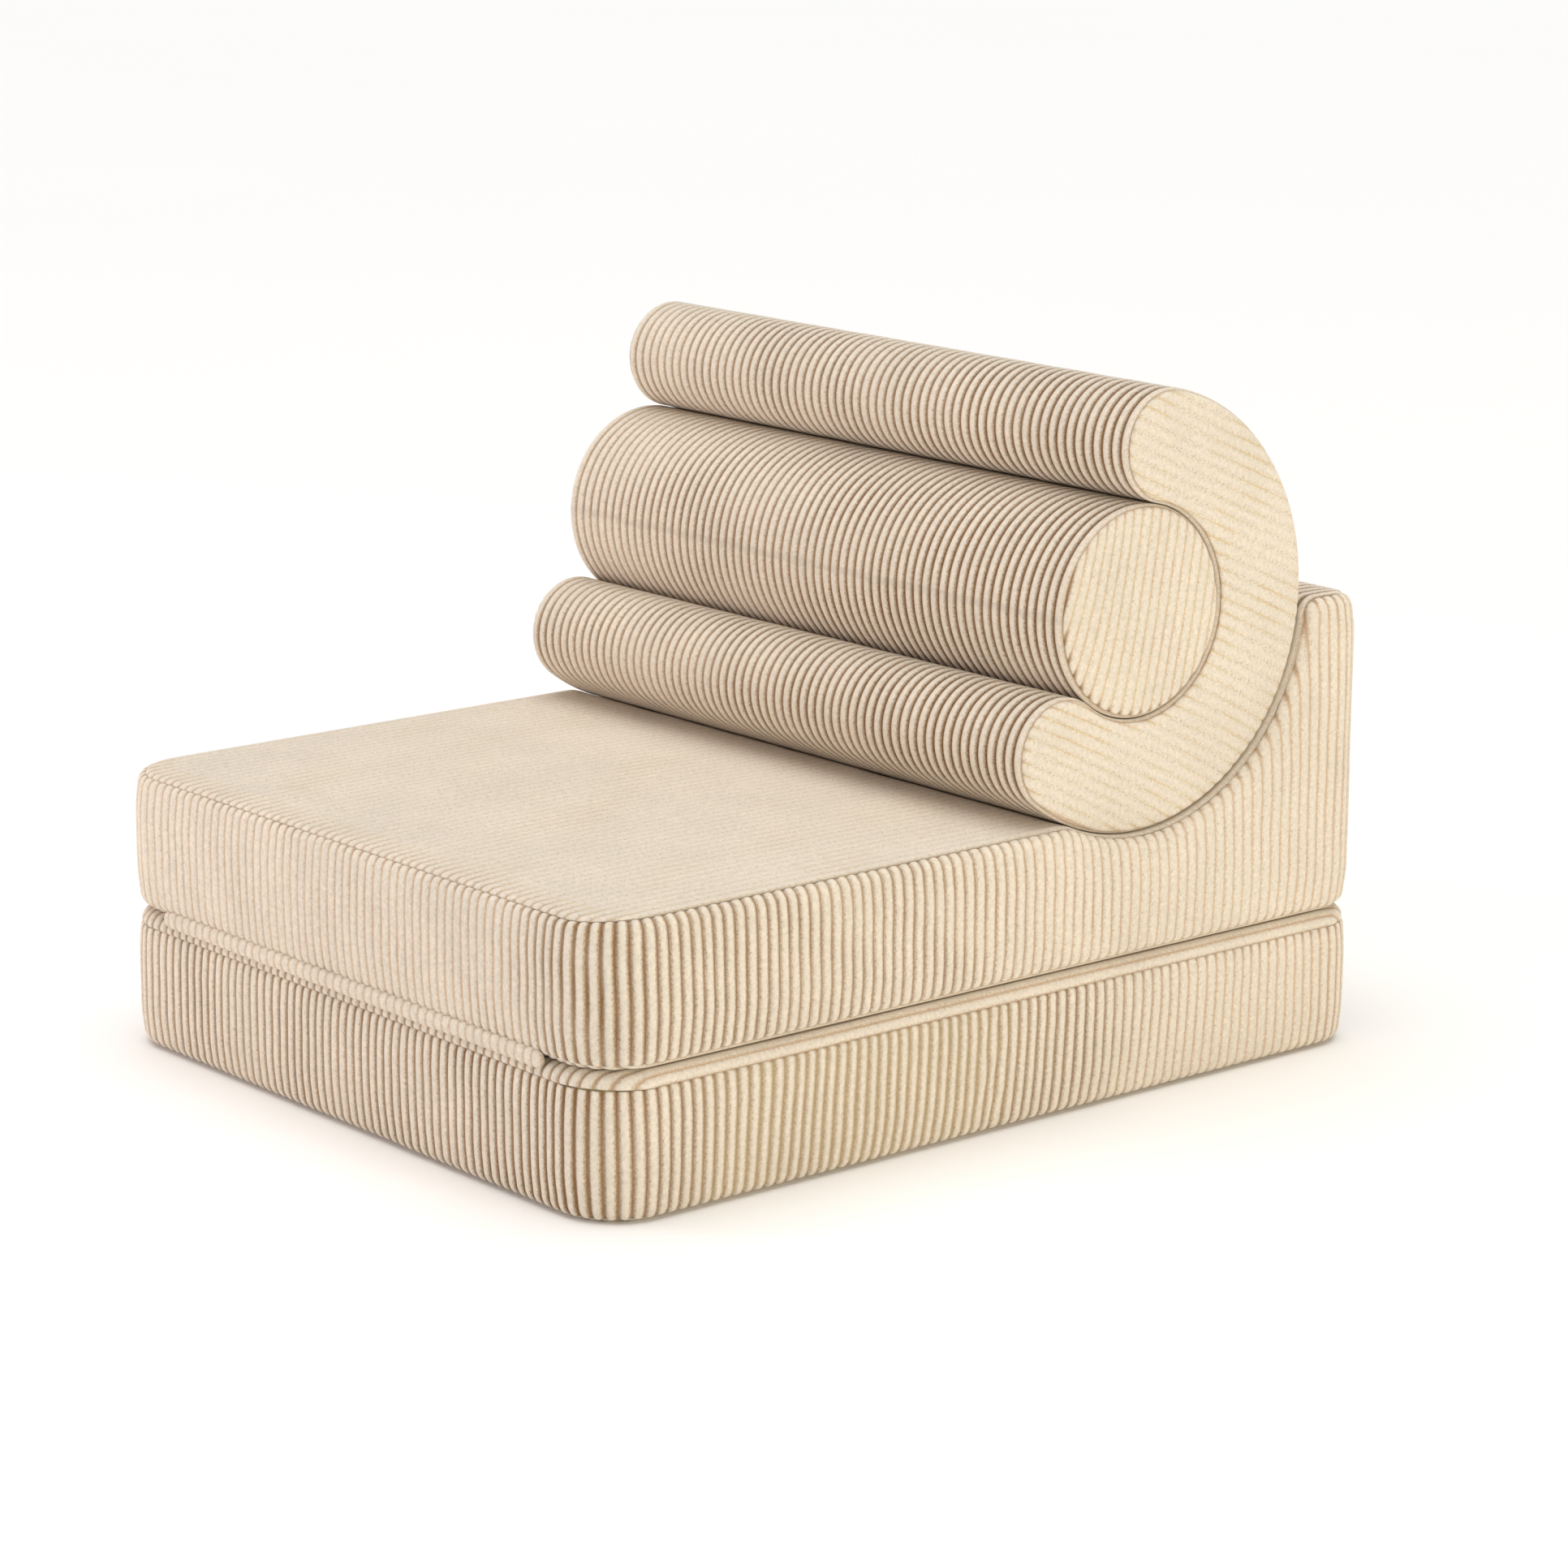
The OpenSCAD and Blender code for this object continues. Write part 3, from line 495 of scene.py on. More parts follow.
    def slump(self, points):
        """The wedge's soft top sinks, and up to twice as far towards its back edge. It fades out
        over 60 mm downwards and over 60 mm forwards."""
        y, z = points[..., 1], points[..., 2]
        if self.wedged:
            sunk = SLUMP + SLUMP * smooth(y, 0.325, 0.362) ** 1.5
            points[..., 2] -= sunk * MM * smooth(z, 0.285, 0.345) * smooth(y, 0.2, 0.26)
        return points


def soft_side(depth, mattress, seam):
    """Distance of the side from the set-in plan, the angle of its normal from straight up, and
    the distance from the seam along the cloth, at a depth below the edge: round the soft edge's
    circle, then out by the swell as one minus the square of what is left of the ramp."""
    s = mattress.s
    cos_a = np.clip(1 - depth / s.edge, 0, 1)
    angle = np.arccos(cos_a)
    ramp = np.clip((depth - s.edge) / s.swell_ramp, 0, 1)
    out = s.edge * np.sin(angle) + s.swell * (1 - (1 - ramp) ** 2)
    from_seam = s.edge * (angle - seam) + np.maximum(0, depth - s.edge)
    return out, angle, from_seam


def side_band(name, mattress, look, zip_z, pressed, tilted, join):
    """The upright band of a mattress: columns follow the wales round the plan, rows run from the
    bottom seam to the top one, which follows the profile. The zip's slot is left open. pressed
    gives the pile's press at places round the plan, as shares of the walk from the back's middle
    over the right side, tilted how far the wales lean back there as they rise, and join is the
    share where the band's ends are sewn together and its wales waver."""
    s, base, seed = mattress.s, mattress.base, look.seed + SEEDS[name]
    u_table, plan, wales = mattress.plan()
    around = u_table[-1]
    count = int(round(wales[-1] / look.pitch))
    phase = wale_columns(count, False)
    share = (phase + 0.5) / count
    u = np.interp(share * wales[-1], wales, u_table)
    press_u, leaned, tilt = (np.interp(share, *zip(*table)) for table in (pressed, LEANED, tilted))
    from_middle = np.minimum(u, around - u)
    on_back = from_middle < mattress.half_x - 30 * MM

    _, line = mattress.table()
    side_drop = mattress.seam_drop(mattress.top_seam[1])
    seam = line[:, :2] - side_drop * line[:, 2:]
    side_start = mattress.half_x - mattress.back_r + (
        mattress.back_r + s.edge + s.swell) * np.pi / 2

    def along_side(place):
        """Unrolled distance along the side from front to back, the same on both sides."""
        return mattress.half_y - mattress.back_r + side_start - np.minimum(place, around - place)

    def on_plan(place):
        """The plan's points and normals at places round it."""
        return (np.interp(place, u_table, plan[:, k]) for k in range(4))

    # rows: beside the bottom seam, on to the slot, above it at even steps and beside the top seam
    bottom = base + mattress.seam_drop(mattress.base_seam[0])
    low, high = zip_z - ZIP_SLOT / 2, zip_z + ZIP_SLOT / 2
    beside = np.array([-7, -4, -2, -0.8, 0]) * MM
    between = np.array([0.4, 0.75]) * (low - bottom - 20 * MM) + bottom + 12 * MM
    level = np.concatenate([
        SEAM_ROWS[:-1] + bottom, between, low + beside, [zip_z], high - beside[::-1]])
    slot_top = int(np.flatnonzero(level == low)[0])
    slot_bottom = slot_top + 2
    above = 12 if mattress.wedged else 3
    _, col_y, col_nx, col_ny = on_plan(u)
    drop = mattress.seam_drop(mattress.seam_angle(col_nx, col_ny, col_y, mattress.top_seam))
    seam_z = np.interp(along_side(u), seam[:, 0], seam[:, 1]) + side_drop - drop
    t = np.arange(1, above + 1)[:, None] / (above + 1)
    z = np.concatenate([
        np.repeat(level[:, None], len(u), 1),
        level[-1] + t * (seam_z - SEAM_ROWS[-2] - level[-1]), seam_z - SEAM_ROWS[-2::-1, None]])

    def place(z, cloth):
        """Points on the side at heights z: the plan's point, out by soft_side of the depth below
        the profile or above the base, whichever is nearer, less the depth of the cloth along the
        surface's normal."""
        lean = WALE_SWAY * sway(u[None, :], z, seed) * np.clip((z - base) / (30 * MM), 0, 1)
        near_join = np.exp(-(((u / around - join) * around / JOIN_WIDTH) ** 2))
        lean = lean - tilt * (z - base) + near_join * JOIN_SWAY * sway(
            z, u[None, :], seed + 40, 12 * MM, 50 * MM)
        near_zip = on_back & (np.abs(z - zip_z) < 20 * MM)
        place_u = u + np.where(near_zip, 0.3 * lean, lean)
        walk = place_u % around
        x, y, nx, ny = on_plan(walk)
        size = np.hypot(nx, ny)
        nx, ny = nx / size, ny / size
        depth, ey, ez = mattress.below_profile(along_side(walk), z)
        below = z - base
        lower = below < depth
        ey, ez = np.where(lower, 0, ey), np.where(lower, -1, ez)
        seam_here = np.where(lower, mattress.base_seam[0],
                             mattress.seam_angle(nx, ny, y, mattress.top_seam))
        out, angle, from_seam = soft_side(np.minimum(depth, below), mattress, seam_here)
        sin_a, cos_a = np.sin(angle), np.cos(angle)
        along = np.where(walk <= around / 2, ey, -ey) * cos_a
        normal = np.stack([nx * sin_a - ny * along, ny * sin_a + nx * along, ez * cos_a], -1)
        point = np.stack([x + nx * out, y + ny * out, z], -1)
        from_slot = np.where(on_back, np.maximum(np.abs(z - zip_z) - ZIP_SLOT / 2, 0)
                             + np.maximum(from_middle - ZIP_HALF, 0), OUT_OF_REACH)
        from_seam = np.minimum(np.maximum(from_seam, 0), from_slot)
        press = np.clip(press_u + 0.12 * sway(place_u, z, seed + 30, 40 * MM, 200 * MM), -0.6, 1)
        opened = 0.6 + 0.4 * smooth(from_seam, 1 * MM, 10 * MM)
        press = np.where(press > 0, press * opened, press)
        if cloth:
            lift = LUMP * sway(place_u, z, seed + 9, 30 * MM, 150 * MM)
            deep = pile_depth(phase, z, from_seam, look, seed, press, leaned)
            deep = deep - lift * np.clip(from_seam / (10 * MM), 0, 1)
        else:
            deep = np.full_like(z, BACKING)
        return mattress.slump(point - normal * deep[..., None]), from_seam, press

    kept = sorted({0, 4, 8, slot_top - 6, slot_top, slot_top + 1, slot_bottom, slot_bottom + 5,
                   *range(slot_bottom + 4, len(z) - 9, 3), len(z) - 9, len(z) - 5, len(z) - 1})
    outer, from_seam, press = place(z, True)
    inner = place(z[kept], False)[0]
    cord = cord_table(phase - leaned, z, from_seam, press)
    # the zip spans the middle of the back, where the walk begins and ends, so the ring is turned
    outer, inner, cord = (np.roll(a, len(u) // 2, 1) for a in (outer, inner, cord))
    x, y = outer[slot_top, :, 0], outer[slot_top, :, 1]
    slot = np.flatnonzero((y > mattress.half_y) & (np.abs(x) <= ZIP_HALF))
    return closed_panel(name, outer, inner, kept, cord, around=True, flip=True,
                        hole=(slot_top, slot_bottom, int(slot[0]), int(slot[-1])))


def rounded_rect(x, y, mattress):
    """Signed distance outwards from the set-in plan, and its direction: straight off a side, and
    along the radius in a corner."""
    hx, hy = mattress.half_x, mattress.half_y
    r = np.where(y < 0, mattress.front_r, mattress.back_r)
    ax, ay = np.abs(x) - (hx - r), np.abs(y) - (hy - r)
    corner = (ax > 0) & (ay > 0)
    length = np.hypot(ax, ay) + 1e-9
    side = np.abs(x) - hx > np.abs(y) - hy
    q = np.where(corner, length - r, np.maximum(np.abs(x) - hx, np.abs(y) - hy))
    gx = np.where(corner, ax / length, np.where(side, 1.0, 0.0)) * np.sign(x)
    gy = np.where(corner, ay / length, np.where(side, 0.0, 1.0)) * np.sign(y)
    return q, gx, gy


def air_filled(x, y):
    """Rise of a flat sheet held along its edge and filled by air for 20 frames, by Blender's own
    cloth simulation, at a grid of places x and y."""
    scene = bpy.context.scene
    gx, gy = np.meshgrid(x, y)
    points = np.stack([gx, gy, 0 * gx], -1).reshape(-1, 3)
    sheet = add_piece("sheet", points, grid_quads(len(y), len(x)))
    edge = np.ones(gx.shape, bool)
    edge[1:-1, 1:-1] = False
    sheet.vertex_groups.new(name="held").add(np.flatnonzero(edge).tolist(), 1.0, "REPLACE")
    cloth = sheet.modifiers.new("cloth", "CLOTH")
    cloth.settings.vertex_group_mass = "held"
    cloth.settings.use_pressure = True
    cloth.settings.uniform_pressure_force = 4
    cloth.settings.effector_weights.gravity = 0
    cloth.point_cache.frame_start, cloth.point_cache.frame_end = 1, 20
    for number in range(1, 21):
        scene.frame_set(number)
    filled = sheet.evaluated_get(bpy.context.evaluated_depsgraph_get())
    mesh = filled.to_mesh()
    rise = np.empty((len(mesh.vertices), 3), np.float32)
    mesh.vertices.foreach_get("co", rise.ravel())
    filled.to_mesh_clear()
    flat = sheet.data
    bpy.data.objects.remove(sheet)
    bpy.data.meshes.remove(flat)
    scene.frame_set(1)
    return rise[:, 2].reshape(gx.shape).astype(float)


def seat_crown(mattress):
    """The seat's swell between its seams and the cradle, as a function of x and y: simulated on a
    coarse sheet, brought to the crown's height and spread out by cubic B-splines."""
    x = np.linspace(-mattress.half_x, mattress.half_x, 25)
    y = np.linspace(-mattress.half_y, mattress.lip_c[0], 19)
    rise = air_filled(x, y)
    rise *= mattress.s.crown / rise.max()
    # turned over at the edge, so that the splines are 0 there
    rise = np.pad(rise, 1, "reflect", reflect_type="odd")

    def weights(place, line):
        """First knot and the four knots' weights at a place between them."""
        u = np.clip((place - line[0]) / (line[1] - line[0]), 0, len(line) - 1)
        first = np.minimum(u.astype(int), len(line) - 2)
        t = u - first
        return first, ((1 - t) ** 3 / 6, (3 * t**3 - 6 * t**2 + 4) / 6,
                       (3 * (t + t**2 - t**3) + 1) / 6, t**3 / 6)

    def crown(px, py):
        (i, across), (j, along) = weights(px, x), weights(py, y)
        return sum(across[a] * along[b] * rise[j + b, i + a] for a in range(4) for b in range(4))

    return crown


def flat_panel(name, mattress, look, pressed, under=False):
    """The top panel of a mattress, or its base if under: columns follow the wales from front to
    back, rows follow the profile. Past the set-in plan the cloth drops along the profile's normal
    by the soft edge's circle, down to the seam."""
    seed, edge = look.seed + SEEDS[name], mattress.s.edge
    seam = mattress.base_seam if under else mattress.top_seam
    half = mattress.half_x + edge * seam[1]
    count = 2 * int(round(half / look.pitch))
    phase = wale_columns(count, True)
    across = (phase + 0.5) / count * 2 * half - half
    x, _ = round_edge(across, mattress.half_x, edge)
    length, line = mattress.table()
    reach, side_reach = edge * np.sin(seam[0]), edge * np.sin(seam[1])

    def seam_y(r):
        """Distance of the seam from the middle, towards the corners of radius r: an ellipse."""
        cut = np.clip((np.abs(x) - (mattress.half_x - r)) / (r + side_reach), 0, 1)
        return mattress.half_y - r + (r + reach) * np.sqrt(1 - cut**2)

    front = np.interp(-seam_y(mattress.front_r), line[:, 0], length)
    back = np.interp(seam_y(mattress.back_r), line[:, 0], length)
    # rows between the corners: the profile's own length at the points of a coarse profile
    corner = 20 * MM
    first_y = mattress.front_r + corner - mattress.half_y
    last_y = mattress.half_y - mattress.back_r - corner
    if mattress.wedged:
        last_y = mattress.wedge_c[0] + 0.5 * MM
    coarse = mattress.line(fine=False)
    coarse = coarse[(coarse[:, 0] > first_y) & (coarse[:, 0] < last_y)]
    near = np.hypot(*(line[:, None, :2] - coarse[:, :2]).T).argmin(1)
    fixed = np.unique(np.round(length[near], 6))
    # rows beside a seam: distances along the cloth, turned into distances in plan, first round
    # the edge and then flat, and drawn together where the back seam is near
    flat_part = SEAM_ROWS - edge * seam[0]
    steps = np.where(flat_part > 0, reach + flat_part, edge * (
        np.sin(seam[0]) - np.sin(np.maximum(seam[0] - SEAM_ROWS / edge, 0))))[:, None]
    room = np.clip((back - fixed[-1]) / (steps[-1] * 1.25), 0, 1)
    starts, ends = front + steps, back - steps[::-1] * room
    t = np.array([0.25, 0.5, 0.75])[:, None]
    s_rows = np.concatenate([
        starts, starts[-1] + t * (fixed[0] - starts[-1]), np.repeat(fixed[:, None], len(x), 1),
        fixed[-1] + t * (ends[0] - fixed[-1]), ends])
    crown = seat_crown(mattress) if mattress.wedged else lambda px, py: 0 * py

    def place(rows, cloth):
        """Points on the panel at lengths along the profile: the profile's point, up by the crown
        and down by the soft edge's circle, less the depth of the cloth along the normal."""
        y, z, ny, nz = (np.interp(rows, length, line[:, k]) for k in range(4))
        px = x + PANEL_SWAY * sway(x, rows, seed) * (1 - (x / x[-1]) ** 4)
        q, gx, gy = rounded_rect(px, y, mattress)
        seam_here = mattress.seam_angle(gx, gy, y, seam)
        q = np.minimum(q, edge * np.sin(seam_here))
        sin_a = np.clip(q / edge, 0, 1)
        cos_a = np.sqrt(1 - sin_a**2)
        rise = crown(px, y) - edge * (1 - cos_a)
        point = np.stack([px, y + ny * rise, z + nz * rise], -1)
        normal = np.stack([gx * sin_a, gy * nz * sin_a + ny * cos_a,
                           -gy * ny * sin_a + nz * cos_a], -1)
        from_seam = edge * (seam_here - np.arcsin(sin_a)) + np.maximum(0, -q)
        # pressed flat by sitting on, but not at the bend over the edge or on the wedge's lip
        press = np.clip(pressed + 0.08 * sway(px, rows, seed + 30, 50 * MM, 250 * MM), 0, 1)
        press = press * (1 - 0.45 * np.abs(gy) * (1 - smooth(from_seam, 6 * MM, 24 * MM)))
        # the open pile on the wedge's lip takes the darker valley colours, partly painted shade
        # where the arch shades the lip
        if mattress.wedged:
            press = press * (1 - smooth(z, mattress.wedge_top - 30 * MM, mattress.wedge_top))
        if cloth:
            uneven = PANEL_DIP * sway(px, rows, seed + 9, 50 * MM, 250 * MM)
            deep = pile_depth(phase, rows, from_seam, look, seed, press)
            deep = deep + np.clip(from_seam / (20 * MM), 0, 1) * np.abs(uneven)
        else:
            deep = np.full_like(rows, BACKING)
        point = mattress.slump(point - normal * deep[..., None])
        if under:
            point[..., 2] = mattress.top + mattress.base - point[..., 2]
        return point, from_seam, press

    n, first = len(s_rows), len(starts) + len(t)
    last = first + len(fixed) - 1
    kept = sorted({0, 3, 6, 9, *range(first, last, 2), last, n - 10, n - 7, n - 4, n - 1})
    outer, from_seam, press = place(s_rows, True)
    inner = place(s_rows[kept], False)[0]
    cord = cord_table(phase, s_rows, from_seam, press)
    return closed_panel(name, outer, inner, kept, cord, flip=under)


def mattresses(sizes):
    """The foot mattress and the seat mattress."""
    t, gap = sizes.mattress, sizes.gap
    return (Mattress(sizes, 0, t - gap / 2, False, FOOT_TOP_SEAM, FOOT_BASE_SEAM),
            Mattress(sizes, t + gap / 2, 2 * t, True))


STRIP_PRESS = 0.68
STRIP_RIB = 0.45 * MM  # height of the strip's short wales
STRIP_END = 9 * MM  # length over which an end is rounded
STITCHED_IN = 1.6 * MM  # how far the stitch lines lie in against the mattresses


def hinge_strip(name, low, high, look):
    """The strip's closed section, carried along X: the front bows out by a sine, to the power of
    0.4, between the two stitch lines, which lie in against the mattresses. Short wales cross it,
    and it draws in to a rounded end."""
    seed = look.seed + SEEDS[name]
    count = int(round((high.x - low.x) / look.pitch))
    phase = wale_columns(count, True)
    x = low.x + (phase + 0.5) / count * (high.x - low.x)
    height, middle, back = 0.9 * (high.z - low.z), (high.z + low.z) / 2, high.y
    t = np.linspace(0, 1, 13)[:, None]
    wander = 0.9 * MM * sway(x, 0 * t, seed, 30 * MM, 120 * MM)
    pinch = 1 - 0.12 * np.abs(sway(x, 0 * t, seed + 1, 15 * MM, 50 * MM))
    to_end = np.clip(np.minimum(x - low.x, high.x - x) / STRIP_END, 0, 1)
    end = np.sqrt(np.clip(1 - (1 - to_end) ** 2, 0.02, 1))
    bow = np.sin(np.pi * t) ** 0.4
    ribs = rib(phase, look)
    out = ((STITCHED_IN + high.y - low.y) * bow * end * pinch - STITCHED_IN
           + STRIP_RIB * bow * (ribs - 1) * end)
    z = middle + height / 2 * (1 - 2 * t) * end * (0.97 + 0.03 * ribs) + wander * bow
    outer = np.stack([np.broadcast_to(x, z.shape), back - out, z], -1)
    inner = np.stack(np.broadcast_arrays(
        x, back + 2.6 * MM, middle + height / 2 * np.array([[0.98], [0], [-0.98]]) * end), -1)
    cord = cord_table(phase, z, np.minimum(t, 1 - t) * height, STRIP_PRESS)
    return closed_panel(name, outer, inner, [0, 6, 12], cord, flip=True)


# Round pieces


def arch_outline(sizes, mattress, fine, slot=None):
    """The arch's outline in the YZ plane: points, outward normals and length along it. The outside
    bow, round the upper arm's end, back along the inside bow and round the lower arm's end. slot
    is a pair of angles on the outside bow that get points on them and close beside them."""
    outer, thick = sizes.arch_radius, sizes.arch_thick
    mid, arm = outer - thick / 2, thick / 2
    up, down = sizes.arm_up, -sizes.arm_down

    bow = outside = np.linspace(down, up, (412 if fine else 78) + 1)
    if slot:
        beside = SEAM_ROWS[:6] / outer
        far = (bow < slot[0] - 9 * MM / outer) | (bow > slot[1] + 9 * MM / outer)
        outside = np.sort(np.concatenate([
            bow[far], slot[0] - beside, slot[1] + beside, [sum(slot) / 2]]))
    tip = np.linspace(0, np.pi, (104 if fine else 26) + 1)[:-1]
    parts = []
    for centre, radius, angles, side in (
        (0, outer, outside[:-1], 1), (mid * on_circle(up), arm, up + tip, 1),
        (0, outer - thick, bow[:0:-1], -1),
        (mid * on_circle(down), arm, down + np.pi + tip, 1),
    ):
        parts.append((centre + radius * on_circle(angles), side * on_circle(angles)))
    points, normals = (np.concatenate(part) for part in zip(*parts))
    points = points + mattress.arch
    step = np.hypot(*(np.roll(points, -1, 0) - points).T)
    return points, normals, np.concatenate([[0], np.cumsum(step)[:-1]])


def bolster_outline(sizes, mattress, fine):
    """A circle in the YZ plane: points, outward normals and length along it. The soft cover
    fills out until it touches the arch all round."""
    r = sizes.arch_radius - sizes.arch_thick - sizes.gap
    a = np.linspace(-np.pi, np.pi, (360 if fine else 84) + 1)[:-1]
    n = on_circle(a)
    return mattress.arch + r * n, n, r * (a + np.pi)


def round_wrap(name, outline, half, edge, look, pressed, slot=None):
    """The wrap round an outline: columns follow the wales along X, rows the outline. Past the
    soft edge's start the cloth turns in by its circle as far as the seam. pressed is the pile's
    press at the left and at the right end. slot is an opening for a zip: its half length, and its
    first and last point on the outline."""
    seed = look.seed + SEEDS[name]
    points, normals, length = outline
    length = length[:, None]
    straight = half - edge
    reach = straight + edge * END_SEAM_ANGLE
    count = int(round(2 * reach / look.pitch))
    phase = wale_columns(count, True)
    across = (phase + 0.5) / count * 2 * reach - reach
    kept = {*range(0, len(across) - 1, len(ACROSS_WALE)), len(across) - 1}
    hole = None
    if slot:
        ends = [int(np.abs(across - end).argmin()) for end in (-slot[0], slot[0])]
        across[ends] = -slot[0], slot[0]
        phase[ends] = (across[ends] / reach + 1) / 2 * count - 0.5
        kept |= set(ends)
        hole = (*ends, *slot[1:])
    x, turn = round_edge(across, straight, edge)
    drop = edge * (1 - np.cos(turn))
    from_seam = np.broadcast_to(reach - np.abs(across), (len(points), len(x)))
    if slot:
        low, high = length[list(slot[1:]), 0]
        from_seam = np.minimum(from_seam, np.hypot(
            np.maximum(np.abs(length - (low + high) / 2) - (high - low) / 2, 0),
            np.maximum(np.abs(x) - slot[0], 0)))
    around = length / (length[-1] + np.hypot(*(points[0] - points[-1]))) * 2 * np.pi

    def place(c, deep):
        """Points in the columns c, deep below the ridges: the outline's point, in by the drop of
        the soft edge, less the depth along the normal. The wales wander, but not at the seams."""
        lean = WRAP_SWAY * (sway(x[c], 0.1 * np.cos(around), seed)
                            + sway(x[c], 0.1 * np.sin(around), seed + 1)) / 2
        px = x[c] + lean * (1 - (x[c] / x[-1]) ** 6) - np.sign(x[c]) * np.sin(turn[c]) * deep
        lower = (drop[c] + deep * np.cos(turn[c]))[..., None]
        return np.concatenate([px[..., None], points[:, None] - normals[:, None] * lower], -1)

    press = np.interp(x, (x[0], x[-1]), pressed)
    press = press + 0.12 * sway(x, length, seed + 30, 50 * MM, 250 * MM)
    press = np.maximum(np.clip(press, 0, 1), 0.6 * (1 - smooth(from_seam, 1 * MM, 6 * MM)))
    deep = pile_depth(phase, length, from_seam, look, seed, press)
    outer = place(np.arange(len(x)), deep)
    kept = sorted(kept)
    inner = place(kept, np.full((len(points), len(kept)), BACKING))
    # closed_panel takes rings along its columns, so rows and columns change places
    outer, inner, cord = (grid.transpose(1, 0, 2) for grid in (
        outer, inner, cord_table(phase, length, from_seam, press)))
    return closed_panel(name, outer, inner, kept, cord, around=True, hole=hole)


def round_end(name, outline, half, edge, depth, side, wale_line, look, crown, pressed, opened,
              slot=None):
    """The panel over a round end: rows step in from the seam, round the rest of the soft edge and
    over the crown, which rises as one minus the square of what is left of the way to the middle.
    The wales run straight across: wale_line gives how far across them a point lies. The pile is
    pressed, and opened by a share of that at the rim. With a slot, its centre, half width and
    half height, the rows end on the slot instead of in the middle."""
    seed = look.seed + SEEDS[name]
    points, normals, _ = outline
    angle = np.linspace(END_SEAM_ANGLE, np.pi / 2, 5)
    rim = edge * (1 - np.cos(angle))
    if slot:
        centre, reach = points.mean(0), np.array(slot[2:])
        corner = np.stack([np.sign(normals[:, 0]) * np.abs(normals[:, 0]) ** 0.2,
                           normals[:, 1]], -1)
        hole = np.array(slot[:2]) + reach * corner
        start = points - normals * edge
        t = np.linspace(0, 1, 49)[1:, None, None]
        flat = np.concatenate([points - normals * rim[:, None, None], start + t * (hole - start)])
        inward = depth - np.hypot(*(flat - centre).T).T
    else:
        inward = np.append(rim, np.linspace(edge, depth, int((depth - edge) / END_STEP))[1:])
        flat = points - normals * inward[:, None, None]
        inward = np.repeat(inward[:, None], len(points), 1)
    share = np.clip((inward - edge) / (depth - edge), 0, 1)
    angle = np.append(angle, np.full(len(flat) - len(angle), np.pi / 2))[:, None]
    sin_a, cos_a = np.sin(angle), np.cos(angle)
    x = half - edge + edge * sin_a + crown * (1 - (1 - share) ** 2)
    seam = edge * (angle - END_SEAM_ANGLE) + np.maximum(inward - edge, 0)
    if slot:
        beside = np.maximum(np.abs(flat - np.array(slot[:2])) - reach, 0)
        seam = np.minimum(seam, np.hypot(beside[..., 0], beside[..., 1]))

    def place(rows, deep):
        """Points in some rows, deep below the ridges along the soft edge's normal."""
        yz = flat[rows] - normals * (deep * cos_a[rows])[..., None]
        return np.concatenate([(side * (x[rows] - deep * sin_a[rows]))[..., None], yz], -1)

    y, z = flat[..., 0], flat[..., 1]
    across, along = wale_line(y, z)
    phase = across / look.pitch + 0.03 * sway(across, along, seed, 60 * MM, 200 * MM)
    press = pressed + 0.1 * sway(across, along, seed + 30, 30 * MM, 150 * MM)
    # the pile opens at the rim, most in front and below
    behind = np.maximum(smooth(y, 0.13, 0.22) * smooth(z, 0.24, 0.32), smooth(z, 0.37, 0.43))
    at_rim = (1 - 0.8 * behind) * (1 - smooth(seam, 2 * MM, 9 * MM))
    press = np.clip(press, 0, 1) * (1 - opened * at_rim)
    deep = pile_depth(phase, along, seam, look, seed, press)
    if not slot:
        # at the middle every column ends in the same point, so it has one depth
        middle = depth - inward < 1e-6
        deep[middle] = np.where(np.ptp(y[middle]) < 1e-6, deep[middle].mean(), deep[middle])
    outer = place(np.arange(len(flat)), deep)
    kept = [0, 3, 6, len(flat) // 2, len(flat) - 1]
    inner = place(kept, np.full((len(kept), len(points)), BACKING))
    cord = cord_table(phase, along, seam, press)
    piece = closed_panel(name, outer, inner, kept, cord, around=True, flip=side < 0)
    if not slot:
        close_middle(piece, len(flat), len(kept), len(points))
    return piece


def close_middle(piece, rows, kept, columns):
    """Takes away the wall at the last row, whose points meet, and merges them."""
    work = bmesh.new()
    work.from_mesh(piece.data)
    work.verts.ensure_lookup_table()
    work.faces.ensure_lookup_table()
    rings = [work.verts[(last - 1) * columns : last * columns] for last in (rows, rows + kept)]
    bmesh.ops.delete(work, geom=work.faces[-columns:], context="FACES")
    for ring in rings:
        bmesh.ops.remove_doubles(work, verts=ring, dist=0.05 * MM)
    flat = [f for f in work.faces if f.calc_area() < 1e-14]
    bmesh.ops.dissolve_degenerate(work, edges=list({e for f in flat for e in f.edges}), dist=1e-7)
    work.to_mesh(piece.data)
    work.free()
    piece.data.shade_smooth()


def arch_wales(mattress):
    """Across and along the wales of the arch's end panel: lines that fall towards the back by
    0.44, and more steeply in both arms."""
    y0, z0 = mattress.arch
    return lambda y, z: (
        ((z - z0) + (0.44 - 0.25 * (z - z0) + 3 * (z - z0) ** 2) * (y - y0)) * np.cos(0.414),
        (y - y0) * np.cos(0.414) - (z - z0) * np.sin(0.414))


def bolster_wales(mattress):
    """Across and along the wales of the bolster's end panel: lines that lean back by 0.18 as they
    rise, and by up to 0.36 towards the front."""
    y0, z0 = mattress.arch
    return lambda y, z: (
        (y - y0) - (0.18 + 0.18 * smooth(y0 - y, 0, 0.08)) * (z - z0), (z - z0) + 0.18 * (y - y0))


# Zips


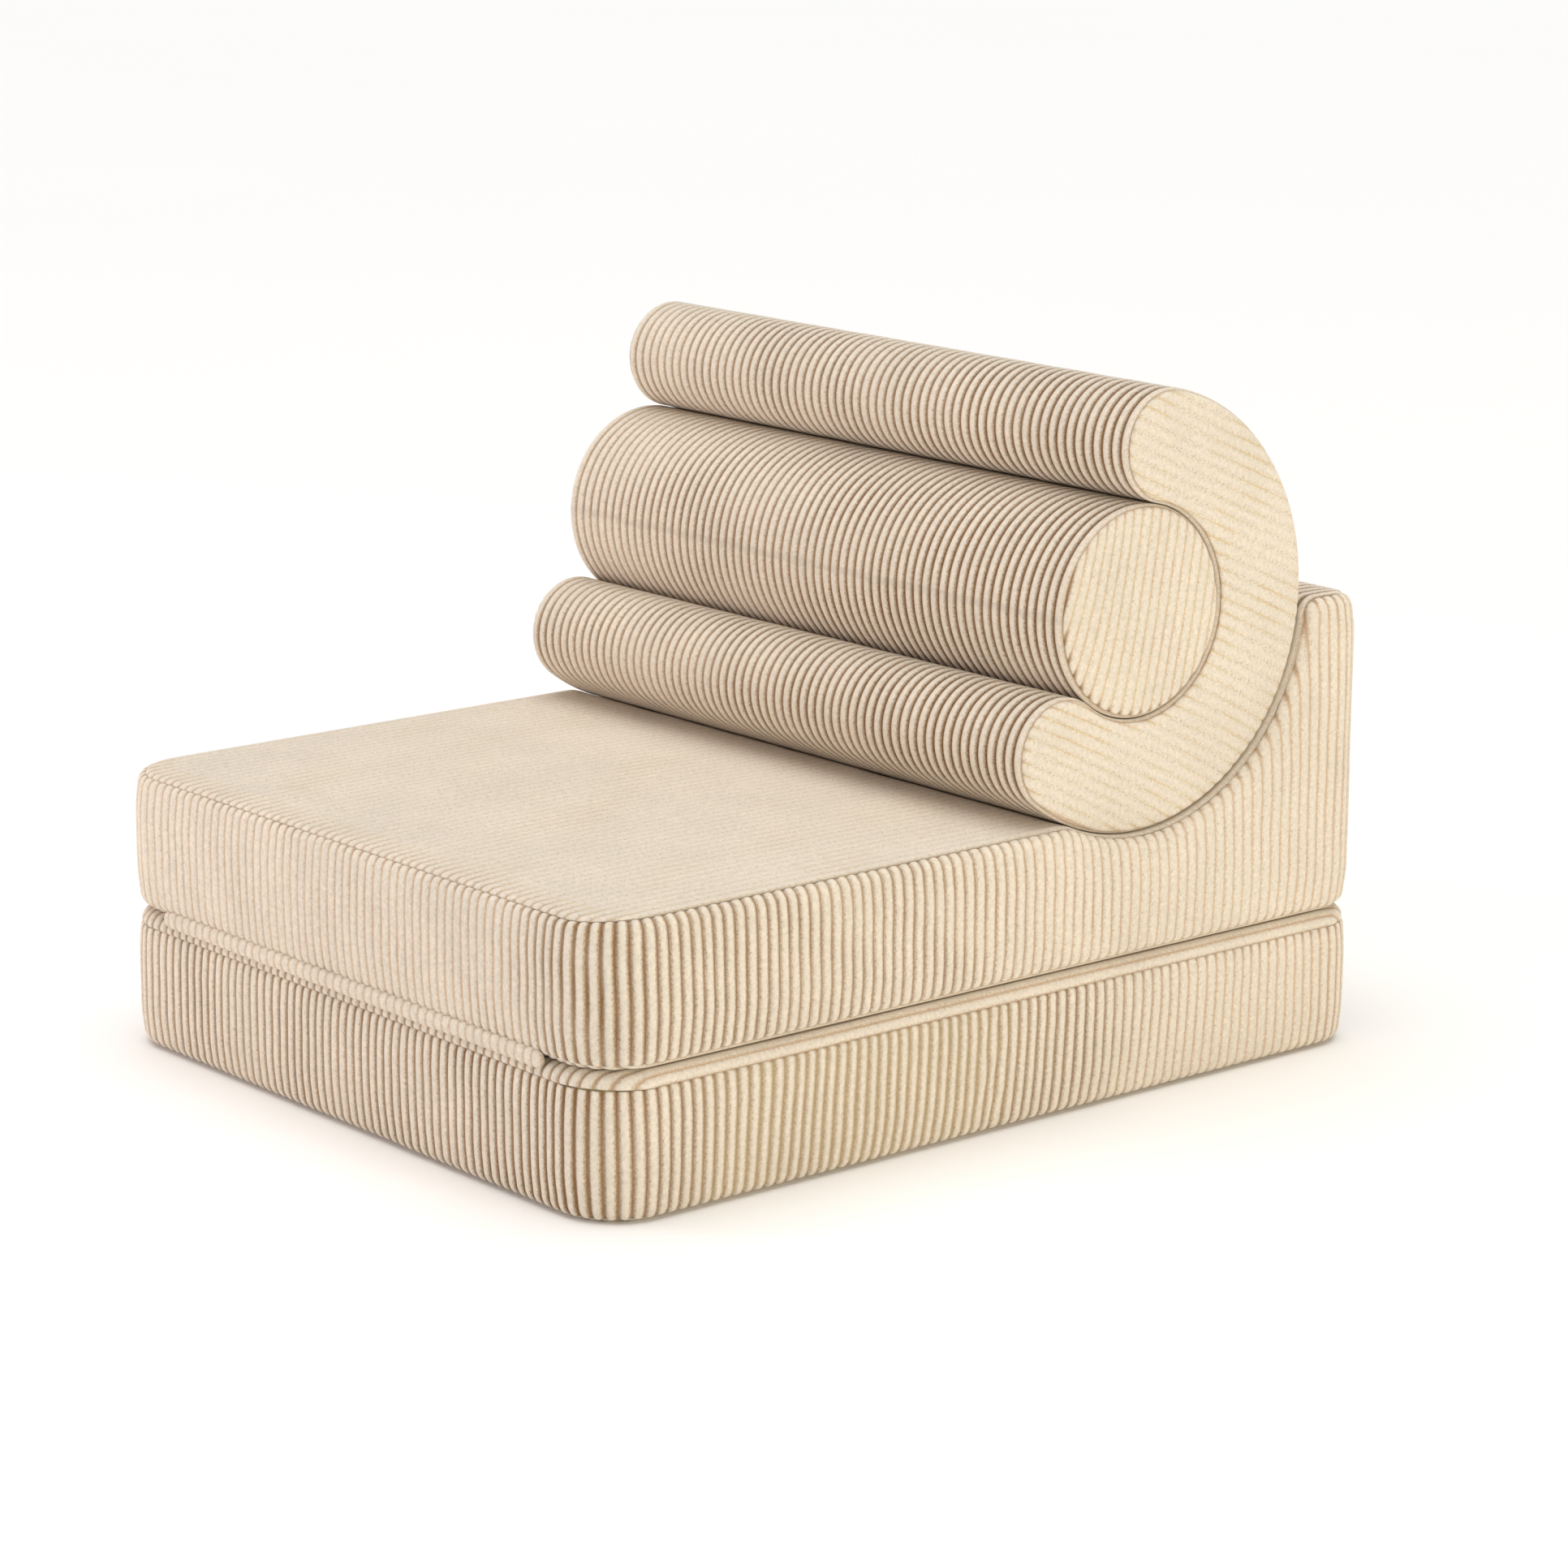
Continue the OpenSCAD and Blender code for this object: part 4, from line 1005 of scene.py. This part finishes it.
# One tooth seen from the front, from its clamp on the tape to its head past the middle: half
# widths at distances across the zip. Its back and face lie behind the cover's ridges.
TOOTH_HALF = np.array([0.5, 0.5, 0.62, 0.62, 0.35]) * MM
TOOTH_ACROSS = np.array([3.0, 0.6, 0.2, -0.7, -1.0]) * MM
TOOTH_BACK, TOOTH_FACE, TOOTH_BEVEL = -4.3 * MM, -1.9 * MM, 0.3 * MM
TOOTH_STEP = 1.3 * MM  # from a tooth on one tape to the next on the other
# A tape's edges beside the zip's middle, and how far out of the cover's ridges its sides lie
TAPE_FROM, TAPE_TO, TAPE_FACE, TAPE_BACK = 3 * MM, 11 * MM, -3.62 * MM, -4.25 * MM


def zip_places(sizes):
    """Each zip's name, body, half length of its teeth, radius that it is bent to, and its place:
    its middle on the cover's ridges, and the directions along, out of and across it."""
    _, seat = mattresses(sizes)
    back, up = np.cos(ARCH_ZIP_ANGLE), np.sin(ARCH_ZIP_ANGLE)
    ay, az = seat.arch
    r = sizes.arch_radius
    flat = (1, 0, 0), (0, 1, 0), (0, 0, 1)
    margin = 3 * MM
    return (
        ("foot", "foot", ZIP_HALF - margin, None,
         ((0, sizes.depth / 2, sizes.mattress / 2), *flat)),
        ("seat", "seat", ZIP_HALF - margin, None,
         ((0, sizes.depth / 2, 1.5 * sizes.mattress + sizes.gap / 2), *flat)),
        ("arch", "arch", ARCH_ZIP_HALF - margin, r,
         ((0, ay + r * back, az + r * up), (1, 0, 0), (0, back, up), (0, -up, back))),
        ("bolster", "bolster", BOLSTER_ZIP_HALF - margin, None,
         ((sizes.bolster_inset - sizes.width / 2 - sizes.gap, ay,
           az - sizes.bolster_play + sizes.gap), (0, 0, -1), (-1, 0, 0), (0, 1, 0))),
    )


def at_zip(place, points):
    """Points given along, out of and across a zip, in the chair's own frame."""
    origin, *axes = (np.array(v, float) for v in place)
    return origin + points @ np.array(axes)


def zip_chain(name, place, half):
    """A closed zip's teeth, from one tape and the other in turn. A tooth is its outline carried
    from its back to its face, where the bevel sets it in."""
    steps = int(2 * (half - 0.7 * MM) / TOOTH_STEP)
    i = np.arange(steps + 1)
    side = np.where(i % 2, -1, 1)[:, None, None]
    middle = ((i - steps / 2) * TOOTH_STEP)[:, None, None]
    set_in = np.array([0, 0, TOOTH_BEVEL * 0.6])[:, None]
    wide = TOOTH_HALF - set_in
    across = TOOTH_ACROSS - set_in * np.array([1, 0, 0, 0, -1])
    loop_x = np.concatenate([wide, -wide[:, ::-1]], 1)
    loop_z = np.concatenate([across, across[:, ::-1]], 1)
    out = np.array([TOOTH_BACK, TOOTH_FACE - TOOTH_BEVEL, TOOTH_FACE])[:, None]
    points = np.stack(np.broadcast_arrays(middle + side * loop_x, out, side * loop_z), -1)
    k = np.arange(4)
    cap = np.stack([k, k + 1, 8 - k, 9 - k], -1)
    tooth = np.concatenate([grid_quads(3, 10, around=True), cap[:, ::-1], cap + 20])
    quads = (tooth + 30 * i[:, None, None]).reshape(-1, 4)
    return add_piece(name, at_zip(place, points.reshape(-1, 3)), quads)


def zip_tape(name, place, half, side, radius):
    """One woven tape: a flat strip with a corded edge at the teeth, laid along the cover's back,
    which drops away by its own radius on a round cover."""
    across = np.linspace(TAPE_FROM, TAPE_TO, 13)
    along = np.linspace(-half - 3 * MM, half + 3 * MM, 90)
    drop = radius - np.sqrt(radius**2 - across**2) if radius else 0 * across
    corded = 0.25 * MM * np.exp(-(((across - TAPE_FROM - 1.1 * MM) / (0.9 * MM)) ** 2))
    ripple = 0.08 * MM * sway(across[:, None], along, 61, 20 * MM, 80 * MM)

    def grid(out):
        return at_zip(place, np.stack(
            np.broadcast_arrays(along, out, side * across[:, None]), -1))

    face = (TAPE_FACE + corded - drop)[:, None] + ripple
    back = (TAPE_BACK - drop)[:, None] + 0 * ripple
    cord = np.zeros((len(across), len(along), 4))
    return closed_panel(name, grid(face), grid(back), list(range(len(across))), cord,
                        flip=side > 0)


# Materials


def node(tree, kind, **values):
    """Adds a node. Words in lower case are its settings, the others its inputs: their names, with
    _ for a space, or i and their number. A socket or a node links, the latter by its first output
    or its mixed colour, and anything else is the input's own value."""
    made = tree.nodes.new("ShaderNode" + kind)
    for key, value in values.items():
        number = key[1:].isdigit()
        if key.islower() and not number:
            setattr(made, key, value)
            continue
        entry = made.inputs[int(key[1:]) if number else key.replace("_", " ")]
        if isinstance(value, bpy.types.Node):
            value = value.outputs[2 if value.bl_idname == "ShaderNodeMix" else 0]
        if isinstance(value, bpy.types.NodeSocket):
            tree.links.new(value, entry)
        else:
            entry.default_value = value
    return made


def new_material(name):
    """An empty material, its nodes and its piece's own coordinates."""
    material = bpy.data.materials.new(name)
    material.use_nodes = True
    tree = material.node_tree
    tree.nodes.clear()
    return material, tree, node(tree, "TexCoord").outputs["Object"]


def two_toned(tree, pattern, low, high, strength, depth, **shader):
    """Ends a material whose colour and bumps both follow a pattern: from one hex colour to the
    other, and up by a depth."""
    colour = node(tree, "Mix", **MIXED, Factor=pattern, i6=linear(low), i7=linear(high))
    bump = node(tree, "Bump", Strength=strength, Distance=depth, Height=pattern)
    surface = node(tree, "BsdfPrincipled", Base_Color=colour, Normal=bump, **shader)
    node(tree, "OutputMaterial", Surface=surface)


EASED, MIXED = {"interpolation_type": "SMOOTHSTEP"}, {"data_type": "RGBA"}


def corduroy(look):
    """Cotton corduroy, woven with floats that are cut and brushed into rounded wales.

    The pile is coloured light on the ridges, and its parted sides and the bare ground weave between
    the wales darker, partly their own colour and partly painted shade; painted shade also darkens
    the cloth beside a seam. The cut yarn ends leave flecks about a millimetre long along the wale."""
    material, tree, place = new_material("Cotton corduroy, cut and brushed pile")
    ridge, parted, valley, shallow, closed, flecks = (tuple(colour) for colour in (
        look.ridge, look.parted, look.valley, look.shallow, look.closed, look.fleck))
    cord = node(tree, "Attribute", attribute_name="cord")
    press = node(tree, "Attribute", attribute_name="press").outputs["Fac"]
    phase, along, seam = node(tree, "SeparateXYZ", i0=cord.outputs["Vector"]).outputs
    across = node(tree, "Math", operation="MULTIPLY", i0=phase, i1=look.pitch)
    cloth = node(tree, "CombineXYZ", i0=across, i1=along)
    # cut pile: flecks of about 1.2 mm, drawn out along the wale
    cloth = node(tree, "Mapping", Vector=cloth, Scale=(1, 0.55, 1))
    pile = node(tree, "TexNoise", Vector=cloth, Scale=0.85 / MM, Detail=4, Roughness=0.75)
    ragged = node(tree, "Math", operation="MULTIPLY_ADD", i0=pile, i1=0.55, i2=-0.27)
    # share of the way from the ridge to the valley, with a ragged edge
    distance = node(tree, "Math", operation="PINGPONG", i0=phase, i1=0.5)
    off = node(tree, "Math", operation="MULTIPLY_ADD", i0=distance, i1=2, i2=ragged)
    # an open valley takes up half of the pitch and fades out, a closed one is a thin line
    edge = node(tree, "Math", operation="MULTIPLY_ADD", i0=press, i1=0.42, i2=0.3)
    deep = node(tree, "MapRange", **EASED, Value=off, From_Min=edge, From_Max=1.02)
    left = node(tree, "MapRange", Value=press, From_Min=0.9, To_Min=1, To_Max=0.12)
    deep = node(tree, "Math", operation="MULTIPLY", i0=deep, i1=left)
    side = node(tree, "MapRange", **EASED, Value=off, From_Min=0.1, From_Max=0.95)
    speck = node(tree, "MapRange", **EASED, Value=pile, From_Min=0.5, From_Max=0.64, To_Max=0.9)
    speck = node(tree, "Math", operation="MULTIPLY", i0=speck, i1=side)
    colour = node(tree, "Mix", **MIXED, Factor=speck, i6=ridge, i7=flecks)
    # what shows in a valley, from parted pile over open wales to wales pressed together; the parted
    # and open valley colours are partly the cloth's own and partly painted shade, darker and warmer
    # the more open the valley
    ground = parted
    for low, high, next_ground in ((-0.35, 0, valley), (0, 0.6, shallow), (0.7, 0.9, closed)):
        share = node(tree, "MapRange", Value=press, From_Min=low, From_Max=high)
        ground = node(tree, "Mix", **MIXED, Factor=share, i6=ground, i7=next_ground)
    colour = node(tree, "Mix", **MIXED, Factor=deep, i6=colour, i7=ground)
    # painted shade: within 3 mm of a seam the cloth is darkened towards the valley colour, where
    # the crease lies in shade
    painted_seam_shade = node(tree, "MapRange", **EASED, Value=seam, From_Max=3 * MM, To_Min=0.2, To_Max=0)
    painted_seam_shade = node(tree, "Math", operation="MULTIPLY", i0=painted_seam_shade, i1=side)
    colour = node(tree, "Mix", **MIXED, Factor=painted_seam_shade, i6=colour, i7=valley)
    # nap that lies another way in patches of 7 cm, and tufts of 3 mm
    for scale, detail, low, high in ((0.014 / MM, 3, 0.95, 1.03), (0.33 / MM, 2, 0.9, 1.06)):
        patch = node(tree, "TexNoise", Vector=place, Scale=scale, Detail=detail)
        tone = node(tree, "MapRange", Value=patch, From_Min=0.3, From_Max=0.7, To_Min=low,
                    To_Max=high)
        colour = node(tree, "VectorMath", operation="SCALE", i0=colour, Scale=tone)
    # single yarn ends of about 0.5 mm roughen the pile
    fine = node(tree, "TexNoise", Vector=place, Scale=2.2 / MM, Detail=2)
    rough = node(tree, "Math", operation="MULTIPLY_ADD", i0=pile, i1=0.7, i2=fine)
    bump = node(tree, "Bump", Strength=0.8, Distance=0.9 * MM, Height=rough)
    surface = node(tree, "BsdfPrincipled", Base_Color=colour, Normal=bump, Roughness=0.95,
                   Specular_IOR_Level=0.2, Sheen_Weight=0.35, Sheen_Roughness=0.55,
                   Sheen_Tint=linear("#FFF4E2"))
    node(tree, "OutputMaterial", Surface=surface)
    return material


def foam():
    """Polyurethane foam, cut from a block: matt, pale yellow, with open cells of 0.9 mm."""
    material, tree, place = new_material("Polyurethane foam, cut block")
    cells = node(tree, "TexVoronoi", Vector=place, Scale=1.1 / MM)
    two_toned(tree, cells, "#D8C98E", "#F2E8BC", 0.5, 0.4 * MM, Roughness=0.95)
    return material


def woven_tape():
    """Polyester zip tape, woven in a fine twill: matt, with slanting ribs 0.8 mm apart."""
    material, tree, place = new_material("Polyester zip tape, woven twill")
    ribs = node(tree, "TexWave", bands_direction="DIAGONAL", Vector=place, Scale=0.39 / MM,
                Distortion=0.4)
    two_toned(tree, ribs.outputs[1], "#BDAE92", "#DDD0B8", 0.4, 0.3 * MM, Roughness=0.8)
    return material


def cast_brass():
    """Brass, die-cast and tumbled: warm, half polished, duller in the 2 mm hollows of its wear."""
    material, tree, place = new_material("Brass, die-cast and tumbled")
    wear = node(tree, "TexNoise", Vector=place, Scale=0.5 / MM, Detail=4)
    gloss = node(tree, "MapRange", Value=wear, To_Min=0.24, To_Max=0.46)
    two_toned(tree, wear, "#8C6D33", "#C9A65C", 0.2, 0.2 * MM, Metallic=1, Roughness=gloss)
    return material


def paper_floor(look):
    """Paper backdrop, matt and seamless: plain, with a very slight unevenness of its tone."""
    material, tree, place = new_material("Paper backdrop, matt")
    tone = node(tree, "TexNoise", Vector=place, Scale=0.8, Detail=2)
    darker = (*(0.985 * np.array(look.floor[:3])), 1)
    colour = node(tree, "Mix", **MIXED, Factor=tone, i6=darker, i7=tuple(look.floor))
    node(tree, "OutputMaterial",
         Surface=node(tree, "BsdfPrincipled", Base_Color=colour, Roughness=0.9))
    return material


def get_material(make, *args):
    """One material of each kind, made when it is first asked for."""
    found = MATERIALS.get(make.__name__)
    if found is None:
        found = MATERIALS[make.__name__] = make(*args)
    return found


MATERIALS = {}


def dress(piece, body, material, cad):
    """Gives a finished piece its material, slot and body, and hides the CAD part that it stands
    for.
    """
    piece.data.materials.clear()
    piece.data.materials.append(material)
    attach(piece, body)
    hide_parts(cad)


def sew(piece, body, cad):
    """Dresses a panel of a cover in corduroy."""
    cloth = get_material(corduroy, bpy.context.scene.chair_cord)
    dress(piece, body, cloth, cad)


# Operators


class CHAIR_OT_foot(bpy.types.Operator):
    """Covers the lower mattress: top panel, side band and base panel."""

    bl_idname = "chair.foot_cover"
    bl_label = "Foot Mattress Cover"

    def execute(self, context):
        sizes, look = context.scene.chair_sizes, context.scene.chair_cord
        foot, _ = mattresses(sizes)
        sew(flat_panel("foot_top_panel", foot, look, pressed=0.6), "foot", "foot_cover_top")
        sew(side_band("foot_side_band", foot, look, sizes.mattress / 2, FOOT_PRESSED, FOOT_TILTED,
                      FOOT_JOIN), "foot", "foot_cover_band")
        sew(flat_panel("foot_base_panel", foot, look, pressed=0.7, under=True),
            "foot", "foot_cover_base")
        return {"FINISHED"}


class CHAIR_OT_seat(bpy.types.Operator):
    """Covers the seat and its wedge: top panel, side band and base panel."""

    bl_idname = "chair.seat_cover"
    bl_label = "Seat Mattress Cover"

    def execute(self, context):
        sizes, look = context.scene.chair_sizes, context.scene.chair_cord
        _, seat = mattresses(sizes)
        zip_z = sizes.mattress * 1.5 + sizes.gap / 2
        flat = Mattress(sizes, seat.base, 2 * sizes.mattress, False)
        sew(flat_panel("seat_top_panel", seat, look, pressed=1), "seat", "seat_cover_top")
        sew(side_band("seat_side_band", seat, look, zip_z, SEAT_PRESSED, SEAT_TILTED, SEAT_JOIN),
            "seat", "seat_cover_band")
        sew(flat_panel("seat_base_panel", flat, look, pressed=0.6, under=True),
            "seat", "seat_cover_base")
        return {"FINISHED"}


class CHAIR_OT_strip(bpy.types.Operator):
    """Sews the hinge strip over the notch between the two mattresses."""

    bl_idname = "chair.hinge_strip"
    bl_label = "Hinge Strip"

    def execute(self, context):
        look = context.scene.chair_cord
        low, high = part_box("hinge_strip")
        strip = hinge_strip("hinge_fabric", low, high, look)
        strip.data.materials.append(get_material(corduroy, look))
        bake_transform(strip)
        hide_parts("hinge_strip")
        return {"FINISHED"}


class CHAIR_OT_arch(bpy.types.Operator):
    """Covers the arch: the wrap round it and an end panel at each side."""

    bl_idname = "chair.arch_cover"
    bl_label = "Arch Cover"

    def execute(self, context):
        sizes, look = context.scene.chair_sizes, context.scene.chair_cord
        _, seat = mattresses(sizes)
        half = sizes.width / 2 - sizes.arch_inset
        beside = ZIP_SLOT / 2 / sizes.arch_radius
        slot = ARCH_ZIP_ANGLE - beside, ARCH_ZIP_ANGLE + beside
        outline = arch_outline(sizes, seat, False, slot)
        edges = seat.arch + sizes.arch_radius * on_circle(np.array(slot))
        rows = [int(np.hypot(*(outline[0] - edge).T).argmin()) for edge in edges]
        sew(round_wrap("arch_wrap", outline, half, sizes.arch_edge, look, WRAP_PRESSED,
                       (ARCH_ZIP_HALF, *rows)), "arch", "arch_cover_wrap")
        outline = arch_outline(sizes, seat, True)
        for side, word in ((-1, "left"), (1, "right")):
            sew(round_end(f"arch_end_{word}", outline, half, sizes.arch_edge, sizes.arch_thick / 2,
                          side, arch_wales(seat), look, sizes.end_crown,
                          pressed=0.97, opened=0.25),
                "arch", f"arch_cover_end_{word}")
        return {"FINISHED"}


class CHAIR_OT_bolster(bpy.types.Operator):
    """Covers the bolster: the wrap round it and an end panel at each side."""

    bl_idname = "chair.bolster_cover"
    bl_label = "Bolster Cover"

    def execute(self, context):
        sizes, look = context.scene.chair_sizes, context.scene.chair_cord
        _, seat = mattresses(sizes)
        half = sizes.width / 2 - sizes.bolster_inset
        sew(round_wrap("bolster_wrap", bolster_outline(sizes, seat, False), half,
                       sizes.bolster_edge, look, WRAP_PRESSED), "bolster", "bolster_cover_wrap")
        outline = bolster_outline(sizes, seat, True)
        radius = sizes.arch_radius - sizes.arch_thick - sizes.gap
        zipped = (seat.arch[0], seat.arch[1] - sizes.bolster_play + sizes.gap, ZIP_SLOT / 2,
                  BOLSTER_ZIP_HALF)
        for side, word, slot in ((-1, "left", zipped), (1, "right", None)):
            sew(round_end(f"bolster_end_{word}", outline, half, sizes.bolster_edge, radius, side,
                          bolster_wales(seat), look, sizes.end_crown,
                          pressed=0.8, opened=0.8, slot=slot),
                "bolster", f"bolster_cover_end_{word}")
        return {"FINISHED"}


class CHAIR_OT_foam(bpy.types.Operator):
    """Puts the foam blocks inside the covers."""

    bl_idname = "chair.foam"
    bl_label = "Foam"

    def execute(self, context):
        material = get_material(foam)
        _, seat = mattresses(context.scene.chair_sizes)
        for cad, body in (("foot_core", "foot"), ("seat_core", "seat"), ("wedge_core", "seat"),
                          ("arch_core", "arch"), ("bolster_core", "bolster")):
            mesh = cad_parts[cad].data.copy()
            work = bmesh.new()
            work.from_mesh(mesh)
            bmesh.ops.remove_doubles(work, verts=work.verts, dist=1e-6)
            work.to_mesh(mesh)
            work.free()
            if cad == "wedge_core":
                points = np.empty((len(mesh.vertices), 3), np.float32)
                mesh.vertices.foreach_get("co", points.ravel())
                mesh.vertices.foreach_set("co", seat.slump(points).ravel())
            mesh.shade_smooth()
            mesh.set_sharp_from_angle(angle=35 * DEG)
            block = bpy.data.objects.new(cad.replace("core", "foam"), mesh)
            context.scene.collection.objects.link(block)
            dress(block, body, material, cad)
        return {"FINISHED"}


class CHAIR_OT_zips(bpy.types.Operator):
    """Makes the zips' woven tapes and their teeth, and gives their sliders and pulls brass."""

    bl_idname = "chair.zips"
    bl_label = "Zips"

    def execute(self, context):
        brass, twill = get_material(cast_brass), get_material(woven_tape)
        for name, body, half, radius, place in zip_places(context.scene.chair_sizes):
            for side, word in ((-1, "low"), (1, "high")):
                tape = zip_tape(f"{name}_zip_tape_{word}", place, half, side, radius)
                dress(tape, body, twill, f"{name}_zip_tapes")
            chain = zip_chain(f"{name}_zip_chain", place, half)
            chain.data.shade_flat()
            dress(chain, body, brass, f"{name}_zip_teeth")
            for part in ("slider", "pull"):
                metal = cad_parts[f"{name}_zip_{part}"].data
                metal.materials.clear()
                metal.materials.append(brass)
        return {"FINISHED"}


# Lights: name, kind, place, what they are aimed at, size or a sun's angle, strength and colour
LIGHTS = (
    ("overhead", "SUN", (0, 0, 3), (0, 0, 0), (60 * DEG,), 1.8, "#FFFFFF"),
    ("left_box", "AREA", (-2.2, -2.4, 0.55), (0, 0, 0.2), (1.2, 1.2), 37.5, "#FFF0F3"),
    ("right_box", "AREA", (2.6, -0.1, 0.6), (0.25, 0.1, 0.25), (1.0, 1.0), 21, "#FFF3D8"),
)
WORLD = 0.475  # strength of the backdrop's light on the chair
FLOOR = 40  # from the chair to the floor's edge


class CHAIR_OT_stage(bpy.types.Operator):
    """Sets the floor, the lights and the camera."""

    bl_idname = "chair.stage"
    bl_label = "Stage"

    def execute(self, context):
        scene, look = context.scene, context.scene.chair_stage
        corners = [(-FLOOR, -FLOOR, 0), (FLOOR, -FLOOR, 0), (FLOOR, FLOOR, 0), (-FLOOR, FLOOR, 0)]
        floor = add_piece("floor", corners, [(0, 1, 2, 3)])
        floor.data.materials.append(get_material(paper_floor, look))
        self.camera(scene, look)
        for name, kind, place, aim, size, strength, colour in LIGHTS:
            data = bpy.data.lights.new(name, kind)
            if kind == "SUN":
                data.angle = size[0]
            else:
                data.shape, data.size, data.size_y = "RECTANGLE", *size
            data.energy, data.color = strength, linear(colour)[:3]
            light = bpy.data.objects.new(name, data)
            light.visible_camera = False
            direction = Vector(aim) - Vector(place)
            light.matrix_world = Matrix.Translation(place) @ direction.to_track_quat(
                "-Z", "Y").to_matrix().to_4x4()
            scene.collection.objects.link(light)
        world = bpy.data.worlds.new("studio")
        world.use_nodes = True
        tree = world.node_tree
        background = tree.nodes["Background"]
        background.inputs[0].default_value = linear("#FFFFFF")
        # the backdrop is white beyond the floor too, but lights the chair less
        seen = node(tree, "LightPath").outputs["Is Camera Ray"]
        strength = node(tree, "MapRange", Value=seen, To_Min=WORLD, To_Max=1)
        tree.links.new(strength.outputs[0], background.inputs[1])
        scene.world = world
        scene.view_settings.view_transform = "Standard"
        return {"FINISHED"}

    @staticmethod
    def camera(scene, look):
        """Aims the camera: back along the azimuth and elevation from the target, then rolled."""
        az, el, roll = look.azimuth, look.elevation, look.roll
        back = Vector((np.sin(az) * np.cos(el), -np.cos(az) * np.cos(el), np.sin(el)))
        right = (-back).cross(Vector((0, 0, 1))).normalized()
        up = right.cross(-back)
        rightward = right * np.cos(roll) + up * np.sin(roll)
        upward = -right * np.sin(roll) + up * np.cos(roll)
        data = bpy.data.cameras.new("camera")
        data.lens, data.sensor_width, data.sensor_fit = look.lens, 36, "HORIZONTAL"
        data.clip_end = 200
        camera = bpy.data.objects.new("camera", data)
        place = Vector(look.target) + back * look.distance
        camera.matrix_world = Matrix((
            *zip(rightward, upward, back, place), (0, 0, 0, 1)))
        scene.collection.objects.link(camera)
        scene.camera = camera


class CHAIR_PT_panel(bpy.types.Panel):
    """Sizes, colours and steps of the foam chair."""

    bl_label = "Foam Chair"
    bl_idname = "CHAIR_PT_panel"
    bl_space_type = "VIEW_3D"
    bl_region_type = "UI"
    bl_category = "Foam Chair"

    def draw(self, context):
        layout = self.layout
        for title, group in (("Sizes", context.scene.chair_sizes),
                             ("Corduroy", context.scene.chair_cord),
                             ("Stage", context.scene.chair_stage)):
            box = layout.box()
            box.label(text=title)
            for key in group.bl_rna.properties.keys():
                if key not in ("rna_type", "name"):
                    box.prop(group, key)
        for step in STEPS:
            layout.operator(step.bl_idname)


STEPS = (CHAIR_OT_stage, CHAIR_OT_foot, CHAIR_OT_seat, CHAIR_OT_strip, CHAIR_OT_arch,
         CHAIR_OT_bolster, CHAIR_OT_foam, CHAIR_OT_zips)
CLASSES = (ChairSizes, CordLook, StageLook, *STEPS, CHAIR_PT_panel)


def register():
    for item in CLASSES:
        bpy.utils.register_class(item)
    bpy.types.Scene.chair_sizes = PointerProperty(type=ChairSizes)
    bpy.types.Scene.chair_cord = PointerProperty(type=CordLook)
    bpy.types.Scene.chair_stage = PointerProperty(type=StageLook)


def unregister():
    del bpy.types.Scene.chair_sizes, bpy.types.Scene.chair_cord, bpy.types.Scene.chair_stage
    for item in reversed(CLASSES):
        bpy.utils.unregister_class(item)


def main():
    register()
    for step in STEPS:
        getattr(bpy.ops.chair, step.bl_idname.split(".")[1])()


if __name__ == "__main__":
    main()
